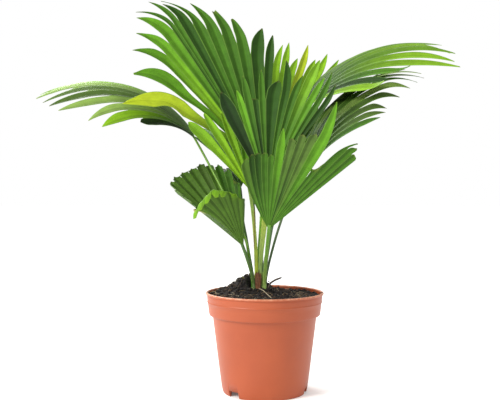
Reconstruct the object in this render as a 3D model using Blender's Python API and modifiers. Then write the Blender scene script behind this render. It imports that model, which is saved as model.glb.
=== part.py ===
"""Potted footstool palm: a young fan palm with pleated blades, in a nursery pot full of soil.

Blender's units are metres here, +Z is up and the origin is the middle of the pot's flat underside.
Sizes below are in millimetres and degrees, and MM turns them into metres.
"""
from typing import NamedTuple

import bmesh
import bpy
import numpy as np

MM = 0.001
GAP = 0.3
NAME = "potted_footstool_palm"

# The pot: a lip on top, a collar, and a body that tapers to a foot ring round a raised middle pad.
POT_HEIGHT = 126.0
LIP_RADIUS = 75.0
LIP_OUTLINE = ((-2.4, -0.4), (-1.6, 0.0), (-0.5, -0.4), (0.0, -1.4), (-0.2, -2.8), (-1.1, -3.6))
LIP_WIDTH = 2.9
COLLAR_TOP_RADIUS = 73.6
COLLAR_FOOT_RADIUS = 70.4
COLLAR_FOOT = 97.4
SHOULDER_HEIGHT = 3.2
RIDGE_OUTLINE = ((72.7, 114.8), (73.0, 114.0), (72.4, 113.2))
BODY_TOP_RADIUS = 66.0
BODY_FOOT_RADIUS = 53.2
SMALL_BEVEL = 0.4
LARGE_BEVEL = 0.8
POT_WALL = 1.6
FLOOR_TOP = 11.0
FLOOR_UNDERSIDE = 9.0
FOOT_RING_WIDTH = 3.4
PAD_RADIUS = 15.0
POT_STEPS = 48
NOTCH_COUNT = 3
NOTCH_LENGTH = 20.0
NOTCH_WIDTH = 17.0
NOTCH_HEIGHT = 8.0
NOTCH_FIRST = -136.0
DRAIN_RADIUS = 4.0
DRAIN_STEPS = 16
DRAIN_RING_RADIUS = 41.0

# The soil: nearly level with the rim, with a heap behind and to the left of the stem.
SOIL_EDGE_HEIGHT = 119.0
SOIL_RADIUS = 70.6
SOIL_RINGS = 8
SOIL_STEPS = 36
SOIL_CLEARANCE = 0.8
HEAP_HEIGHT = 26.0
HEAP_CENTRE = (-20.0, 14.0)
HEAP_SPREAD = 20.0

# The stem: a short bundle of leaf sheaths.
STEM_CENTRE = (-7.0, 0.0)
STEM_FOOT = 130.3
STEM_TOP = 150.0
STEM_FOOT_RADIUS = 5.6
STEM_TOP_RADIUS = 5.6
STEM_SEAT_RADIUS = 12.0
SEAT_BLEND = 6.0
STEM_STEPS = 16

# The leaf stalks: some rise from the stem's top, the rest stand round its side.
TOP_SEAT_RADIUS = 3.4
TOP_SEAT_GAP = 0.6
SIDE_SEAT_HEIGHT = 133.0
SIDE_LEAN = 0.08
STALK_POINTS = 9
END_PULL = 0.65
STALK_BEVEL_RESOLUTION = 1

# The blades: fans of pleated segments, joined near the hub and free further out.
INNER_RADIUS = 5.0
NECK_GAP = 0.4
BEND_REACH = 0.8
BEND_STEPS = 24
CURL_START = 0.68
CURL_SPAN = 0.2
FLAT_CURL = 90.0
TAPER_POWER = 1.9
PLEAT = 0.32
THICKNESS_SHARE = 0.0105
JOINED_ROWS = 4
FREE_ROWS = 3
NUDGE = 0.5


class Rib(NamedTuple):
    """How the blade runs along one fan angle: the shape between two ribs is interpolated."""
    angle: float
    joined: float
    bend: float
    cup: float = 0.0
    curl: float = 0.0


class Segment(NamedTuple):
    """One strip of a fan: its edge angles, length and tip width share, and its tip's lean and droop."""
    low: float
    high: float
    length: float
    tip: float
    sway: float = 0.0
    lift: float = 0.0


def lobe(low, high, first, last, count, tip):
    """A run of like segments between two fan angles, their lengths stepping from first to last."""
    edges = np.linspace(low, high, count + 1)
    lengths = first + (last - first) * (np.arange(count) + 0.5) / count
    return [Segment(edges[k], edges[k + 1], lengths[k], tip) for k in range(count)]


class Frond(NamedTuple):
    """One leaf: its hub, middle rib, upper face, the way it falls, and how its stalk stands."""
    name: str
    colour: str
    hub: tuple
    middle: tuple
    face: tuple
    fall: tuple
    power: float
    ribs: tuple
    segments: list
    seat: str
    azimuth: float
    radii: tuple
    via: tuple = ()


FRONDS = (
    Frond(
        "upper_left", "#5E8C3C", hub=(-3, 28, 287),
        middle=(-0.36, 0.05, 0.92), face=(0.1, -1, 0.25), fall=(-0.8, 0.4, -0.5), power=1.5,
        ribs=(
            Rib(-38, 125, 15, 20), Rib(-29, 140, 12, 12), Rib(-22, 165, 7, 3), Rib(-18.8, 190, 5),
            Rib(-15, 200, 4), Rib(-8, 222, 4), Rib(0, 196, 4), Rib(10.7, 167, 3), Rib(16.4, 150, 2),
            Rib(29, 118, 2),
        ),
        segments=[
            Segment(-38, -29, 199, 0.05, sway=-8.5), Segment(-29, -22, 203, 0.15, sway=-5),
            Segment(-22, -18.5, 223, 0.05, sway=-4.4), Segment(-18.5, -15, 237, 0.05, sway=-3.7),
            Segment(-15, -11, 254, 0.05, sway=-4.3), Segment(-11, -9.5, 260, 0.05, sway=-6.3),
            Segment(-9.5, -7.5, 262, 0.05, sway=-3.5), Segment(-7.5, -3.5, 250, 0.05, sway=-3.5),
            Segment(-3.5, 0.5, 254, 0.03, sway=-7.5), Segment(0.5, 5.5, 236, 0.05, sway=-4),
            Segment(5.5, 10.7, 215, 0.25, sway=-2.7), Segment(10.7, 16.4, 201, 0.2, sway=-2.4),
            Segment(16.4, 23.6, 186, 0.1, sway=2.5), Segment(23.6, 29, 178, 0.1, sway=1),
        ],
        seat="top", azimuth=110, radii=(2.1, 1.8),
    ),
    Frond(
        "mid_left", "#9CC63A", hub=(-18.6, -2, 254.8),
        middle=(-0.31, -0.12, 0.9), face=(0.1, -1, 0.3), fall=(-0.6, 0.6, -0.5), power=1.4,
        ribs=(Rib(-24, 82, 8), Rib(0, 86, 8), Rib(18, 76, 8)),
        segments=[
            Segment(-24, -14, 116, 0.3, sway=-1), Segment(-14, -4, 113, 0.2), Segment(-4, 7, 104, 0.2),
            Segment(7, 18, 94, 0.2),
        ],
        seat="top", azimuth=200, radii=(2.1, 1.9),
    ),
    Frond(
        "left", "#7C9A5C", hub=(-90.4, 45, 321.6),
        middle=(-0.54, -0.14, 0.85), face=(0.85, -0.2, 0.53), fall=(-0.5, 0, -1), power=1.1,
        ribs=(
            Rib(-45, 80, 45), Rib(-15, 150, 71), Rib(15, 150, 71), Rib(30, 130, 63), Rib(45, 90, 48),
        ),
        segments=[
            Segment(-45, -38, 103, 0.1, lift=-1), Segment(-38, -31, 151, 0.05, lift=2.5),
            Segment(-31, -25, 164, 0.05, lift=3.5), Segment(-25, -19, 205, 0.05, lift=-2),
            Segment(-19, -13, 214, 0.05, lift=-0.5), Segment(-13, -7, 222, 0.05),
            Segment(-7, 0, 236, 0.05, lift=-1.5), Segment(0, 7, 235, 0.05, lift=-1),
            Segment(7, 14, 228, 0.05), Segment(14, 21, 219, 0.05), Segment(21, 28, 203, 0.05, lift=-1),
            Segment(28, 36, 184, 0.05, lift=-2), Segment(36, 45, 161, 0.05, lift=-5),
        ],
        seat="side", azimuth=180, radii=(1.9, 1.6),
        via=((-19.5, -4.5, 165), (-25.5, -18, 197)),
    ),
    Frond(
        "low_left", "#6A9A3A", hub=(-26.7, -18, 184),
        middle=(-0.91, -0.1, -0.4), face=(-0.38, -0.02, 0.91), fall=(-0.2, -0.7, -0.5), power=1.5,
        ribs=(
            Rib(-140, 56, 0, 60), Rib(-110, 82, 8, 66, 90), Rib(-85, 98, 18, 66, 110),
            Rib(-65, 100, 44, 65, 95), Rib(-50, 98, 66, 65, 60), Rib(-30, 80, 36, 68), Rib(0, 92, 14, 68),
            Rib(40, 122, 0, 60), Rib(65, 131, 0, 60), Rib(90, 131, 0, 60), Rib(132, 84, 0, 58),
        ),
        segments=[
            Segment(-140, -125, 66, 0.9), Segment(-125, -110, 82, 0.9), *lobe(-110, -86, 96, 108, 2, 0.9),
            *lobe(-86, -50, 112, 111, 3, 0.9), Segment(-50, -38, 93, 0.9), *lobe(-38, -10, 84, 88, 2, 0.8),
            Segment(-10, 10, 103, 0.7), Segment(10, 28, 112, 0.6, sway=-4),
            Segment(28, 45, 131, 0.5, sway=6), Segment(45, 58, 136, 0.7), Segment(58, 70, 138, 0.8),
            Segment(70, 81, 138, 0.8), Segment(81, 91, 139, 0.8), Segment(91, 100, 133, 0.6),
            Segment(100, 110, 127, 0.6), Segment(110, 121, 115, 0.6), Segment(121, 132, 91, 0.6),
        ],
        seat="side", azimuth=-140, radii=(2.2, 1.9),
    ),
    Frond(
        "front", "#4F7E30", hub=(4, -45, 207),
        middle=(0.3, -0.35, 0.88), face=(0, -1, -0.4), fall=(0.6, -0.5, -0.6), power=1.2,
        ribs=(
            Rib(-48, 96, 58, -8), Rib(-32, 95, 27, -5), Rib(-14, 90, 0), Rib(-8, 106, 0), Rib(8, 122, 0),
            Rib(15, 84, 5), Rib(18, 108, 5), Rib(23, 136, 3), Rib(31, 134, 0),
        ),
        segments=[
            Segment(-48, -41, 101, 0.85, sway=2), Segment(-41, -35, 102, 0.9, sway=1),
            Segment(-35, -28, 101, 0.9), Segment(-28, -21, 99, 0.9), Segment(-21, -14, 96, 0.8),
            Segment(-14, -7, 129, 0.1), Segment(-7, -2, 118, 0.8), Segment(-2, 3, 126, 0.8),
            Segment(3, 8, 132, 0.6, sway=1), Segment(8, 14, 176, 0.05, sway=-3),
            Segment(14, 18, 93, 0.8, sway=-3), Segment(18, 23, 150, 0.15, sway=4),
            Segment(23, 27, 145, 0.3, sway=1.5), Segment(27, 31, 138, 0.3, sway=-1),
        ],
        seat="side", azimuth=-38, radii=(2.2, 2.0),
    ),
    Frond(
        "centre", "#4C7640", hub=(3.6, -28, 255),
        middle=(0.05, 0.05, 0.95), face=(0, -1, 0), fall=(0.3, -0.6, -0.6), power=1.4,
        ribs=(
            Rib(-34, 100, -10), Rib(-14, 112, 5), Rib(3, 112, 10), Rib(14, 118, 10), Rib(29, 112, 15),
        ),
        segments=[
            Segment(-34, -23, 137, 0.1), Segment(-23, -18, 130, 0.1), Segment(-18, -13.5, 145, 0.1),
            Segment(-13.5, -9.5, 115, 0.2, sway=-2), Segment(-9.5, -5.5, 149, 0.1),
            Segment(-5.5, 3, 136, 0.15, sway=2), Segment(3, 8, 161, 0.1, sway=-3),
            Segment(8, 12.5, 147, 0.1, sway=1), Segment(12.5, 18, 172, 0.1), Segment(18, 22, 155, 0.1),
            Segment(22, 25.5, 165, 0.1, sway=-2.5), Segment(25.5, 29, 154, 0.1, sway=-2),
        ],
        seat="top", azimuth=-70, radii=(2, 4.2),
    ),
    Frond(
        "back_upright", "#9ABE5C", hub=(11.5, 75, 296.6),
        middle=(0.15, 0.3, 0.92), face=(0, -1, 0.3), fall=(0.3, 0.7, -0.6), power=1.4,
        ribs=(Rib(-18, 125, 5), Rib(-8, 135, 8), Rib(10, 135, 10), Rib(22, 128, 15)),
        segments=[
            Segment(-18, -13.5, 185, 0.05, sway=2), Segment(-13.5, -9, 192, 0.05, sway=1.5),
            Segment(-9, -4.5, 184, 0.05, sway=2), Segment(-4.5, 0, 190, 0.05),
            Segment(0, 4.5, 166, 0.05, sway=1), Segment(4.5, 9, 193, 0.05, sway=-1),
            Segment(9, 13.5, 173, 0.05), Segment(13.5, 18, 192, 0.05, sway=-1.5),
            Segment(18, 22, 195, 0.05, sway=-1),
        ],
        seat="top", azimuth=30, radii=(1.7, 1.5),
    ),
    Frond(
        "upper_right", "#93B552", hub=(50, 60, 362),
        middle=(0.54, 0.06, 0.84), face=(-0.85, -0.35, 0.5), fall=(0.6, -0.1, -1), power=1.1,
        ribs=(
            Rib(-35, 120, 40), Rib(-15, 150, 54), Rib(5, 160, 60), Rib(25, 155, 60), Rib(50, 110, 38),
            Rib(60, 95, 30),
        ),
        segments=[
            Segment(-35, -29, 180, 0.05, lift=-2), Segment(-29, -23, 195, 0.05, lift=-2),
            Segment(-23, -16, 210, 0.05, lift=-1.5), Segment(-16, -8, 222, 0.05),
            Segment(-8, 0, 230, 0.05, lift=0.5), Segment(0, 8, 226, 0.05, lift=2.5),
            Segment(8, 16, 228, 0.05), Segment(16, 24, 222, 0.05), Segment(24, 32, 231, 0.05, lift=-3),
            Segment(32, 40, 168, 0.05, lift=-3), Segment(40, 48, 141, 0.05),
            Segment(48, 56, 142, 0.1, lift=-4),
        ],
        seat="side", azimuth=33, radii=(1.8, 1.5),
    ),
    Frond(
        "right", "#6F8A48", hub=(52, 12, 273),
        middle=(0.16, 0, 0.985), face=(-0.88, -0.4, 0.2), fall=(0.97, 0.1, -0.25), power=1.0,
        ribs=(
            Rib(-30, 150, 67), Rib(-15, 165, 71), Rib(5, 165, 73), Rib(23, 115, 56), Rib(36, 84, 42),
        ),
        segments=[
            Segment(-30, -23, 225, 0.05, lift=-4), Segment(-23, -16, 240, 0.05, lift=-1),
            Segment(-16, -9, 240, 0.05, lift=2.5), Segment(-9, -2, 225, 0.05, lift=4.5),
            Segment(-2, 5, 203, 0.05, lift=5), Segment(5, 12, 184, 0.05, lift=4.5),
            Segment(12, 18, 162, 0.05, lift=4.5), Segment(18, 24, 139, 0.05, lift=4.5),
            Segment(24, 30, 135, 0.05, lift=2.5), Segment(30, 36, 127, 0.05, lift=0.5),
        ],
        seat="side", azimuth=1, radii=(1.7, 1.5),
        via=((23, 5, 221),),
    ),
    Frond(
        "back_left", "#6B8F45", hub=(-16, 75, 261),
        middle=(-0.42, 0.5, 0.78), face=(0.2, -0.7, 0.6), fall=(-0.4, 0.8, -1), power=1.2,
        ribs=(Rib(-20, 90, 10), Rib(0, 140, 40), Rib(35, 110, 50)),
        segments=[*lobe(-20, -8, 108, 160, 2, 0.2), *lobe(-8, 35, 175, 150, 7, 0.2)],
        seat="side", azimuth=119, radii=(1.8, 1.5),
    ),
    Frond(
        "back", "#557F3A", hub=(12, 100, 300),
        middle=(0.02, 0.64, 0.75), face=(0, -0.7, 0.6), fall=(0, 0.8, -1), power=1.2,
        ribs=(Rib(-35, 110, 40), Rib(0, 130, 50), Rib(35, 90, 40)),
        segments=[*lobe(-35, 0, 150, 180, 5, 0.2), *lobe(0, 35, 180, 130, 5, 0.2)],
        seat="side", azimuth=90, radii=(1.7, 1.5),
    ),
    Frond(
        "back_right", "#5A8338", hub=(36, 82, 290),
        middle=(0.42, 0.48, 0.95), face=(-0.3, -0.7, 0.6), fall=(0.4, 0.8, -1), power=1.2,
        ribs=(Rib(-30, 95, 30), Rib(0, 115, 36), Rib(30, 90, 30)),
        segments=[*lobe(-30, 0, 125, 145, 4, 0.2), *lobe(0, 30, 145, 110, 4, 0.2)],
        seat="side", azimuth=62, radii=(1.7, 1.5),
    ),
    Frond(
        "low_back", "#5F8A3C", hub=(-31, 66, 258),
        middle=(-0.35, 0.8, 0.55), face=(0, -0.3, 0.9), fall=(0, 0.6, -1), power=1.2,
        ribs=(Rib(-32, 50, 20), Rib(0, 62, 20), Rib(32, 50, 20)),
        segments=lobe(-32, 32, 76, 76, 6, 0.2),
        seat="side", azimuth=150, radii=(1.7, 1.5),
        via=((-23, 22, 190), (-28, 42, 216)),
    ),
)


def clear_scene():
    """Remove whatever the new file holds."""
    for obj in list(bpy.data.objects):
        bpy.data.objects.remove(obj, do_unlink=True)


def new_collection(name):
    """A collection linked to the scene."""
    collection = bpy.data.collections.new(name)
    bpy.context.scene.collection.children.link(collection)
    return collection


def linear(hex_colour):
    """Turn an sRGB hex colour into linear RGBA."""
    channels = [int(hex_colour[k:k + 2], 16) / 255 for k in (1, 3, 5)]
    return [c / 12.92 if c <= 0.04045 else ((c + 0.055) / 1.055) ** 2.4 for c in channels] + [1.0]


def material(name, colour, roughness):
    """A matte material of one colour."""
    made = bpy.data.materials.new(name)
    made.use_nodes = True
    shader = made.node_tree.nodes["Principled BSDF"]
    shader.inputs["Base Color"].default_value = linear(colour)
    shader.inputs["Roughness"].default_value = roughness
    shader.inputs["Metallic"].default_value = 0.0
    return made


def add_object(name, data, finish, collection):
    """Link a new object with one material."""
    obj = bpy.data.objects.new(name, data)
    data.materials.append(finish)
    collection.objects.link(obj)
    return obj


def unit(vectors):
    """Scale vectors to length one."""
    vectors = np.asarray(vectors, float)
    return vectors / np.linalg.norm(vectors, axis=-1, keepdims=True)


def turned(name, profile, steps, finish, collection):
    """A solid of revolution round Z from (radius, height) pairs, its outer side running downwards."""
    mesh = bpy.data.meshes.new(name)
    points = [(radius * MM, 0.0, height * MM) for radius, height in profile]
    mesh.from_pydata(points, [(k, k + 1) for k in range(len(points) - 1)], [])
    obj = add_object(name, mesh, finish, collection)
    screw = obj.modifiers.new("turn", "SCREW")
    screw.angle = 2 * np.pi
    screw.steps = steps
    screw.render_steps = steps
    screw.use_merge_vertices = True
    screw.merge_threshold = 0.00005
    screw.use_smooth_shade = True
    return obj


def pot_profile():
    """The pot's section, from the middle of its floor over the lip and down to its underside."""
    inner_foot = BODY_FOOT_RADIUS - POT_WALL
    inner_shoulder = BODY_TOP_RADIUS - POT_WALL
    inner_collar = COLLAR_FOOT_RADIUS - POT_WALL
    ring_inner = BODY_FOOT_RADIUS - FOOT_RING_WIDTH
    inside = [
        (0.0, FLOOR_TOP), (inner_foot - LARGE_BEVEL, FLOOR_TOP), (inner_foot, FLOOR_TOP + LARGE_BEVEL),
        (inner_shoulder, COLLAR_FOOT + LARGE_BEVEL), (inner_collar, COLLAR_FOOT + SHOULDER_HEIGHT),
        (LIP_RADIUS - LIP_WIDTH, POT_HEIGHT - LIP_WIDTH),
    ]
    lip = [(LIP_RADIUS + dr, POT_HEIGHT + dz) for dr, dz in LIP_OUTLINE]
    outside = [
        (COLLAR_TOP_RADIUS, POT_HEIGHT - 5.0), *RIDGE_OUTLINE,
        (COLLAR_FOOT_RADIUS, COLLAR_FOOT + LARGE_BEVEL), (COLLAR_FOOT_RADIUS - SMALL_BEVEL, COLLAR_FOOT),
        (BODY_TOP_RADIUS + SMALL_BEVEL, COLLAR_FOOT - SMALL_BEVEL),
        (BODY_TOP_RADIUS, COLLAR_FOOT - LARGE_BEVEL), (BODY_FOOT_RADIUS, LARGE_BEVEL),
    ]
    underside = [
        (BODY_FOOT_RADIUS - LARGE_BEVEL, 0.0), (ring_inner + SMALL_BEVEL, 0.0),
        (ring_inner, SMALL_BEVEL), (ring_inner - SMALL_BEVEL, FLOOR_UNDERSIDE),
        (PAD_RADIUS + LARGE_BEVEL, FLOOR_UNDERSIDE), (PAD_RADIUS + SMALL_BEVEL, SMALL_BEVEL),
        (PAD_RADIUS, 0.0), (0.0, 0.0),
    ]
    return inside + lip + outside + underside


def pot_cutters(collection):
    """Notches through the foot ring, each with a drain hole through the floor inside it."""
    for k in range(NOTCH_COUNT):
        turn = np.radians(NOTCH_FIRST + k * 360 / NOTCH_COUNT)
        away = np.array([np.cos(turn), np.sin(turn), 0.0])
        bpy.ops.mesh.primitive_cube_add(size=1.0)
        notch = bpy.context.object
        notch.name = f"notch_{k + 1}"
        notch.scale = (NOTCH_LENGTH * MM, NOTCH_WIDTH * MM, 2 * NOTCH_HEIGHT * MM)
        notch.rotation_euler.z = turn
        notch.location = away * BODY_FOOT_RADIUS * MM
        bpy.ops.mesh.primitive_cylinder_add(
            vertices=DRAIN_STEPS, radius=DRAIN_RADIUS * MM, depth=4 * FLOOR_TOP * MM,
            location=away * DRAIN_RING_RADIUS * MM,
        )
        drain = bpy.context.object
        drain.name = f"drain_{k + 1}"
        for cutter in (notch, drain):
            for owner in list(cutter.users_collection):
                owner.objects.unlink(cutter)
            collection.objects.link(cutter)
            cutter.hide_render = True
            cutter.display_type = "WIRE"


def make_pot(collection, cutters):
    """The terracotta-coloured plastic pot."""
    finish = material("terracotta_plastic", "#CC6B4E", 0.5)
    pot = turned("pot", pot_profile(), POT_STEPS, finish, collection)
    pot_cutters(cutters)
    cut = pot.modifiers.new("notches", "BOOLEAN")
    cut.operand_type = "COLLECTION"
    cut.collection = cutters
    cut.solver = "EXACT"
    return pot


def soil_height(x, y):
    """Height of the soil: level near the rim, heaped behind the stem, flat under the stem's foot."""
    from_heap = ((x - HEAP_CENTRE[0]) ** 2 + (y - HEAP_CENTRE[1]) ** 2) / (2 * HEAP_SPREAD ** 2)
    from_stem = np.hypot(x - STEM_CENTRE[0], y - STEM_CENTRE[1])
    open_soil = SOIL_EDGE_HEIGHT + HEAP_HEIGHT * np.exp(-from_heap)
    blend = np.clip((from_stem - STEM_SEAT_RADIUS) / SEAT_BLEND, 0, 1)
    seat = STEM_FOOT - GAP
    return seat + (open_soil - seat) * blend * blend * (3 - 2 * blend)


def make_soil(collection):
    """The filled inside of the pot, a turned block whose top is then heaped."""
    wall = POT_WALL + SOIL_CLEARANCE
    rings = np.linspace(0, SOIL_RADIUS, SOIL_RINGS + 1)
    profile = [(radius, SOIL_EDGE_HEIGHT) for radius in rings]
    profile += [
        (COLLAR_FOOT_RADIUS - wall, COLLAR_FOOT + SHOULDER_HEIGHT),
        (BODY_TOP_RADIUS - wall, COLLAR_FOOT + LARGE_BEVEL),
        (BODY_FOOT_RADIUS - wall, FLOOR_TOP + 2 * LARGE_BEVEL),
        (BODY_FOOT_RADIUS - wall - 3 * SOIL_CLEARANCE, FLOOR_TOP + GAP), (0.0, FLOOR_TOP + GAP),
    ]
    finish = material("potting_soil", "#2A211C", 0.95)
    block = turned("soil_block", profile, SOIL_STEPS, finish, collection)
    bpy.context.view_layer.update()
    evaluated = block.evaluated_get(bpy.context.evaluated_depsgraph_get())
    mesh = bpy.data.meshes.new_from_object(evaluated)
    bpy.data.objects.remove(block, do_unlink=True)
    places = np.empty(len(mesh.vertices) * 3)
    mesh.vertices.foreach_get("co", places)
    x, y, z = places.reshape(-1, 3).T / MM
    top = (z > SOIL_EDGE_HEIGHT - SOIL_CLEARANCE) & (np.hypot(x, y) < SOIL_RADIUS - SOIL_CLEARANCE)
    z = np.where(top, soil_height(x, y), z)
    mesh.vertices.foreach_set("co", np.stack([x, y, z], axis=-1).ravel() * MM)
    mesh.update()
    mesh.materials.clear()
    return add_object("soil", mesh, finish, collection)


def make_stem(collection):
    """The short bundle of sheaths that carries every leaf stalk."""
    profile = [
        (0.0, STEM_TOP), (STEM_TOP_RADIUS, STEM_TOP), (STEM_FOOT_RADIUS, STEM_FOOT), (0.0, STEM_FOOT),
    ]
    stem = turned("stem", profile, STEM_STEPS, material("leaf_sheath", "#7A5A34", 0.8), collection)
    stem.location = (STEM_CENTRE[0] * MM, STEM_CENTRE[1] * MM, 0.0)
    return stem


def fan_axes(frond):
    """The fan's middle rib, its sideways direction and the normal of its upper face."""
    middle = unit(frond.middle)
    side = unit(np.cross(middle, frond.face))
    return middle, side, np.cross(side, middle)


def along_ribs(frond, angle, field):
    """A rib's value at any fan angle."""
    return np.interp(angle, [rib.angle for rib in frond.ribs], [getattr(rib, field) for rib in frond.ribs])


def rib_start(frond, angle):
    """Unit directions in which ribs leave the hub, raised out of the fan's plane by the cup."""
    middle, side, normal = fan_axes(frond)
    turn = np.radians(angle)[..., None]
    cup = np.radians(along_ribs(frond, angle, "cup"))[..., None]
    return np.cos(cup) * (np.cos(turn) * middle + np.sin(turn) * side) + np.sin(cup) * normal


def past_curl(reach):
    """How far a rib has gone through its curl: a smoothstep from 0 before it to 1 beyond it."""
    late = np.clip((reach - CURL_START) / CURL_SPAN, 0, 1)
    return late * late * (3 - 2 * late)


def blade_points(frond, angle, radius, lift):
    """Points of the unpleated blade, in millimetres, at fan angles and distances from the hub.

    A rib starts straight from the hub and turns towards the fall direction by
    bend * u ** power + curl * smoothstep, where u grows with the distance, so a point is the hub plus
    the distance times the mean of the rib's direction up to there. The lift is added to the bend.
    """
    start = rib_start(frond, angle)
    fall = unit(frond.fall)
    turned_way = unit(fall - (start * fall).sum(-1, keepdims=True) * start)
    steps = (np.arange(BEND_STEPS) + 0.5) / BEND_STEPS
    reach = steps * (BEND_REACH * radius / along_ribs(frond, angle, "joined"))[..., None]
    bend = np.radians(along_ribs(frond, angle, "bend"))[..., None] * reach ** frond.power
    curl = np.radians(along_ribs(frond, angle, "curl"))[..., None] * past_curl(reach)
    turn = bend + curl + np.radians(lift)[..., None]
    run = np.cos(turn).mean(-1)[..., None]
    drop = np.sin(turn).mean(-1)[..., None]
    return np.array(frond.hub) + radius[..., None] * (run * start + drop * turned_way)


def fan_sheet(count):
    """A grid two faces wide for each segment, slit between the segments beyond the joined rows.

    It returns the bmesh and, for each vertex, its segment, its side (-1, 0 or 1) and its row.
    """
    columns = 2 * count
    rows = JOINED_ROWS + FREE_ROWS - 1
    sheet = bmesh.new()
    bmesh.ops.create_grid(sheet, x_segments=columns, y_segments=rows, size=1.0)

    def place(co):
        return (co.x + 1) / 2 * columns, (co.y + 1) / 2 * rows

    slits = []
    for edge in sheet.edges:
        (c0, r0), (c1, r1) = (place(vert.co) for vert in edge.verts)
        between = round(c0) % 2 == 0 and 0 < round(c0) < columns
        if abs(c0 - c1) < 0.5 and between and min(r0, r1) > JOINED_ROWS - 1.5:
            slits.append(edge)
    bmesh.ops.split_edges(sheet, edges=slits)
    spots = []
    for vert in sheet.verts:
        column, row = place(vert.co)
        inside = place(vert.link_faces[0].calc_center_median())[0]
        segment = int(inside // 2)
        spots.append((segment, round(column) - 2 * segment - 1, round(row)))
    return sheet, np.array(spots).T


def make_blade(frond, collection):
    """The pleated fan blade as one thin closed body, its pleats pressed flat where it is curled over."""
    low, high, length, tip, sway, lift = np.array(frond.segments).T
    sheet, (segment, side, row) = fan_sheet(len(length))
    inner = np.clip(row / (JOINED_ROWS - 1), 0, 1)
    outer = np.clip((row - JOINED_ROWS + 1) / FREE_ROWS, 0, 1)
    half = (high - low)[segment] / 2
    width = 1 - (1 - tip[segment]) * outer ** TAPER_POWER
    angle = (low + high)[segment] / 2 + half * side * width + sway[segment] * outer ** 2
    droop = lift[segment] * outer ** 2
    joined = along_ribs(frond, angle, "joined")
    radius = INNER_RADIUS + (joined - INNER_RADIUS) * inner + (length[segment] - joined) * outer
    right, left = (blade_points(frond, angle + step, radius, droop) for step in (NUDGE, -NUDGE))
    beyond, before = (blade_points(frond, angle, radius + step, droop) for step in (NUDGE, -NUDGE))
    normal = unit(np.cross(right - left, beyond - before))
    curl = along_ribs(frond, angle, "curl") * past_curl(BEND_REACH * radius / joined)
    pleat = PLEAT * (1 - np.clip(curl / FLAT_CURL, 0, 1))
    fold = pleat * radius * np.radians(half) * width * (side == 0)
    points = blade_points(frond, angle, radius, droop) - normal * fold[:, None]
    for vert, point in zip(sheet.verts, points * MM):
        vert.co = point
    mesh = bpy.data.meshes.new(f"blade_{frond.name}")
    sheet.to_mesh(mesh)
    sheet.free()
    finish = material(f"leaf_{frond.name}", frond.colour, 0.5)
    blade = add_object(mesh.name, mesh, finish, collection)
    shell = blade.modifiers.new("thickness", "SOLIDIFY")
    shell.thickness = THICKNESS_SHARE * length.max() * MM
    shell.offset = 1.0
    return blade


def smooth_line(points, leave, arrive, count):
    """A cubic line through the points, pulled at its ends by the two given vectors."""
    spans = np.linalg.norm(np.diff(points, axis=0), axis=1)
    ways = np.vstack([leave, unit(points[2:] - points[:-2]), arrive])
    at = np.linspace(0, len(spans), count)
    k = np.minimum(at.astype(int), len(spans) - 1)
    t = (at - k)[:, None]
    pull = spans[k][:, None]
    from_start = (2 * t ** 3 - 3 * t ** 2 + 1) * points[k] + (t ** 3 - 2 * t ** 2 + t) * pull * ways[k]
    to_end = (3 * t ** 2 - 2 * t ** 3) * points[k + 1] + (t ** 3 - t ** 2) * pull * ways[k + 1]
    return from_start + to_end


def stalk_line(frond):
    """The leaf stalk's centre line, from its seat on the stem to just short of the blade."""
    turn = np.radians(frond.azimuth)
    away = np.array([np.cos(turn), np.sin(turn), 0.0])
    up = np.array([0.0, 0.0, 1.0])
    if frond.seat == "top":
        seat = away * TOP_SEAT_RADIUS + up * (STEM_TOP + TOP_SEAT_GAP)
        leave = up
    else:
        seat = away * (STEM_FOOT_RADIUS + frond.radii[0] + GAP) + up * SIDE_SEAT_HEIGHT
        leave = unit(up + away * SIDE_LEAN)
    seat[:2] += STEM_CENTRE
    angles = np.linspace(frond.ribs[0].angle, frond.ribs[-1].angle, 31)
    neck = unit(rib_start(frond, angles).mean(0))
    reach = np.sqrt(INNER_RADIUS ** 2 - (frond.radii[1] + 2 * GAP) ** 2) - NECK_GAP
    spread = np.radians(angles[-1] - angles[0]) / 2
    reach = max(reach, INNER_RADIUS * np.cos(spread) - 2 * NECK_GAP)
    points = np.array([seat, *frond.via, np.array(frond.hub) + neck * reach])
    arrive = unit(neck + unit(points[-1] - points[-2]))
    return smooth_line(points, END_PULL * leave, END_PULL * arrive, STALK_POINTS)


def make_stalk(frond, finish, collection):
    """The tapering leaf stalk."""
    line = stalk_line(frond)
    curve = bpy.data.curves.new(f"stalk_{frond.name}", "CURVE")
    curve.dimensions = "3D"
    curve.bevel_depth = MM
    curve.bevel_resolution = STALK_BEVEL_RESOLUTION
    curve.use_fill_caps = True
    spline = curve.splines.new("POLY")
    spline.points.add(len(line) - 1)
    radii = np.linspace(*frond.radii, len(line))
    for point, place, radius in zip(spline.points, line * MM, radii):
        point.co = (*place, 1.0)
        point.radius = radius
    return add_object(curve.name, curve, finish, collection)


def main():
    """Build the pot, the soil, the stem, and each frond's stalk and blade."""
    clear_scene()
    plant = new_collection(NAME)
    cutters = new_collection("cutters")
    make_pot(plant, cutters)
    make_soil(plant)
    make_stem(plant)
    stalk_finish = material("leaf_stalk", "#8FA84A", 0.5)
    for frond in FRONDS:
        make_stalk(frond, stalk_finish, plant)
        make_blade(frond, plant)


main()
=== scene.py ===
"""Looks of the potted footstool palm: pleated fan leaves on slim stalks, in a nursery pot full of soil.

Sizes are in millimetres and degrees, and MM turns them into Blender's metres. +Z is up, the camera looks
along +Y, and the origin is the middle of the pot's flat underside.
"""

from typing import NamedTuple

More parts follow.
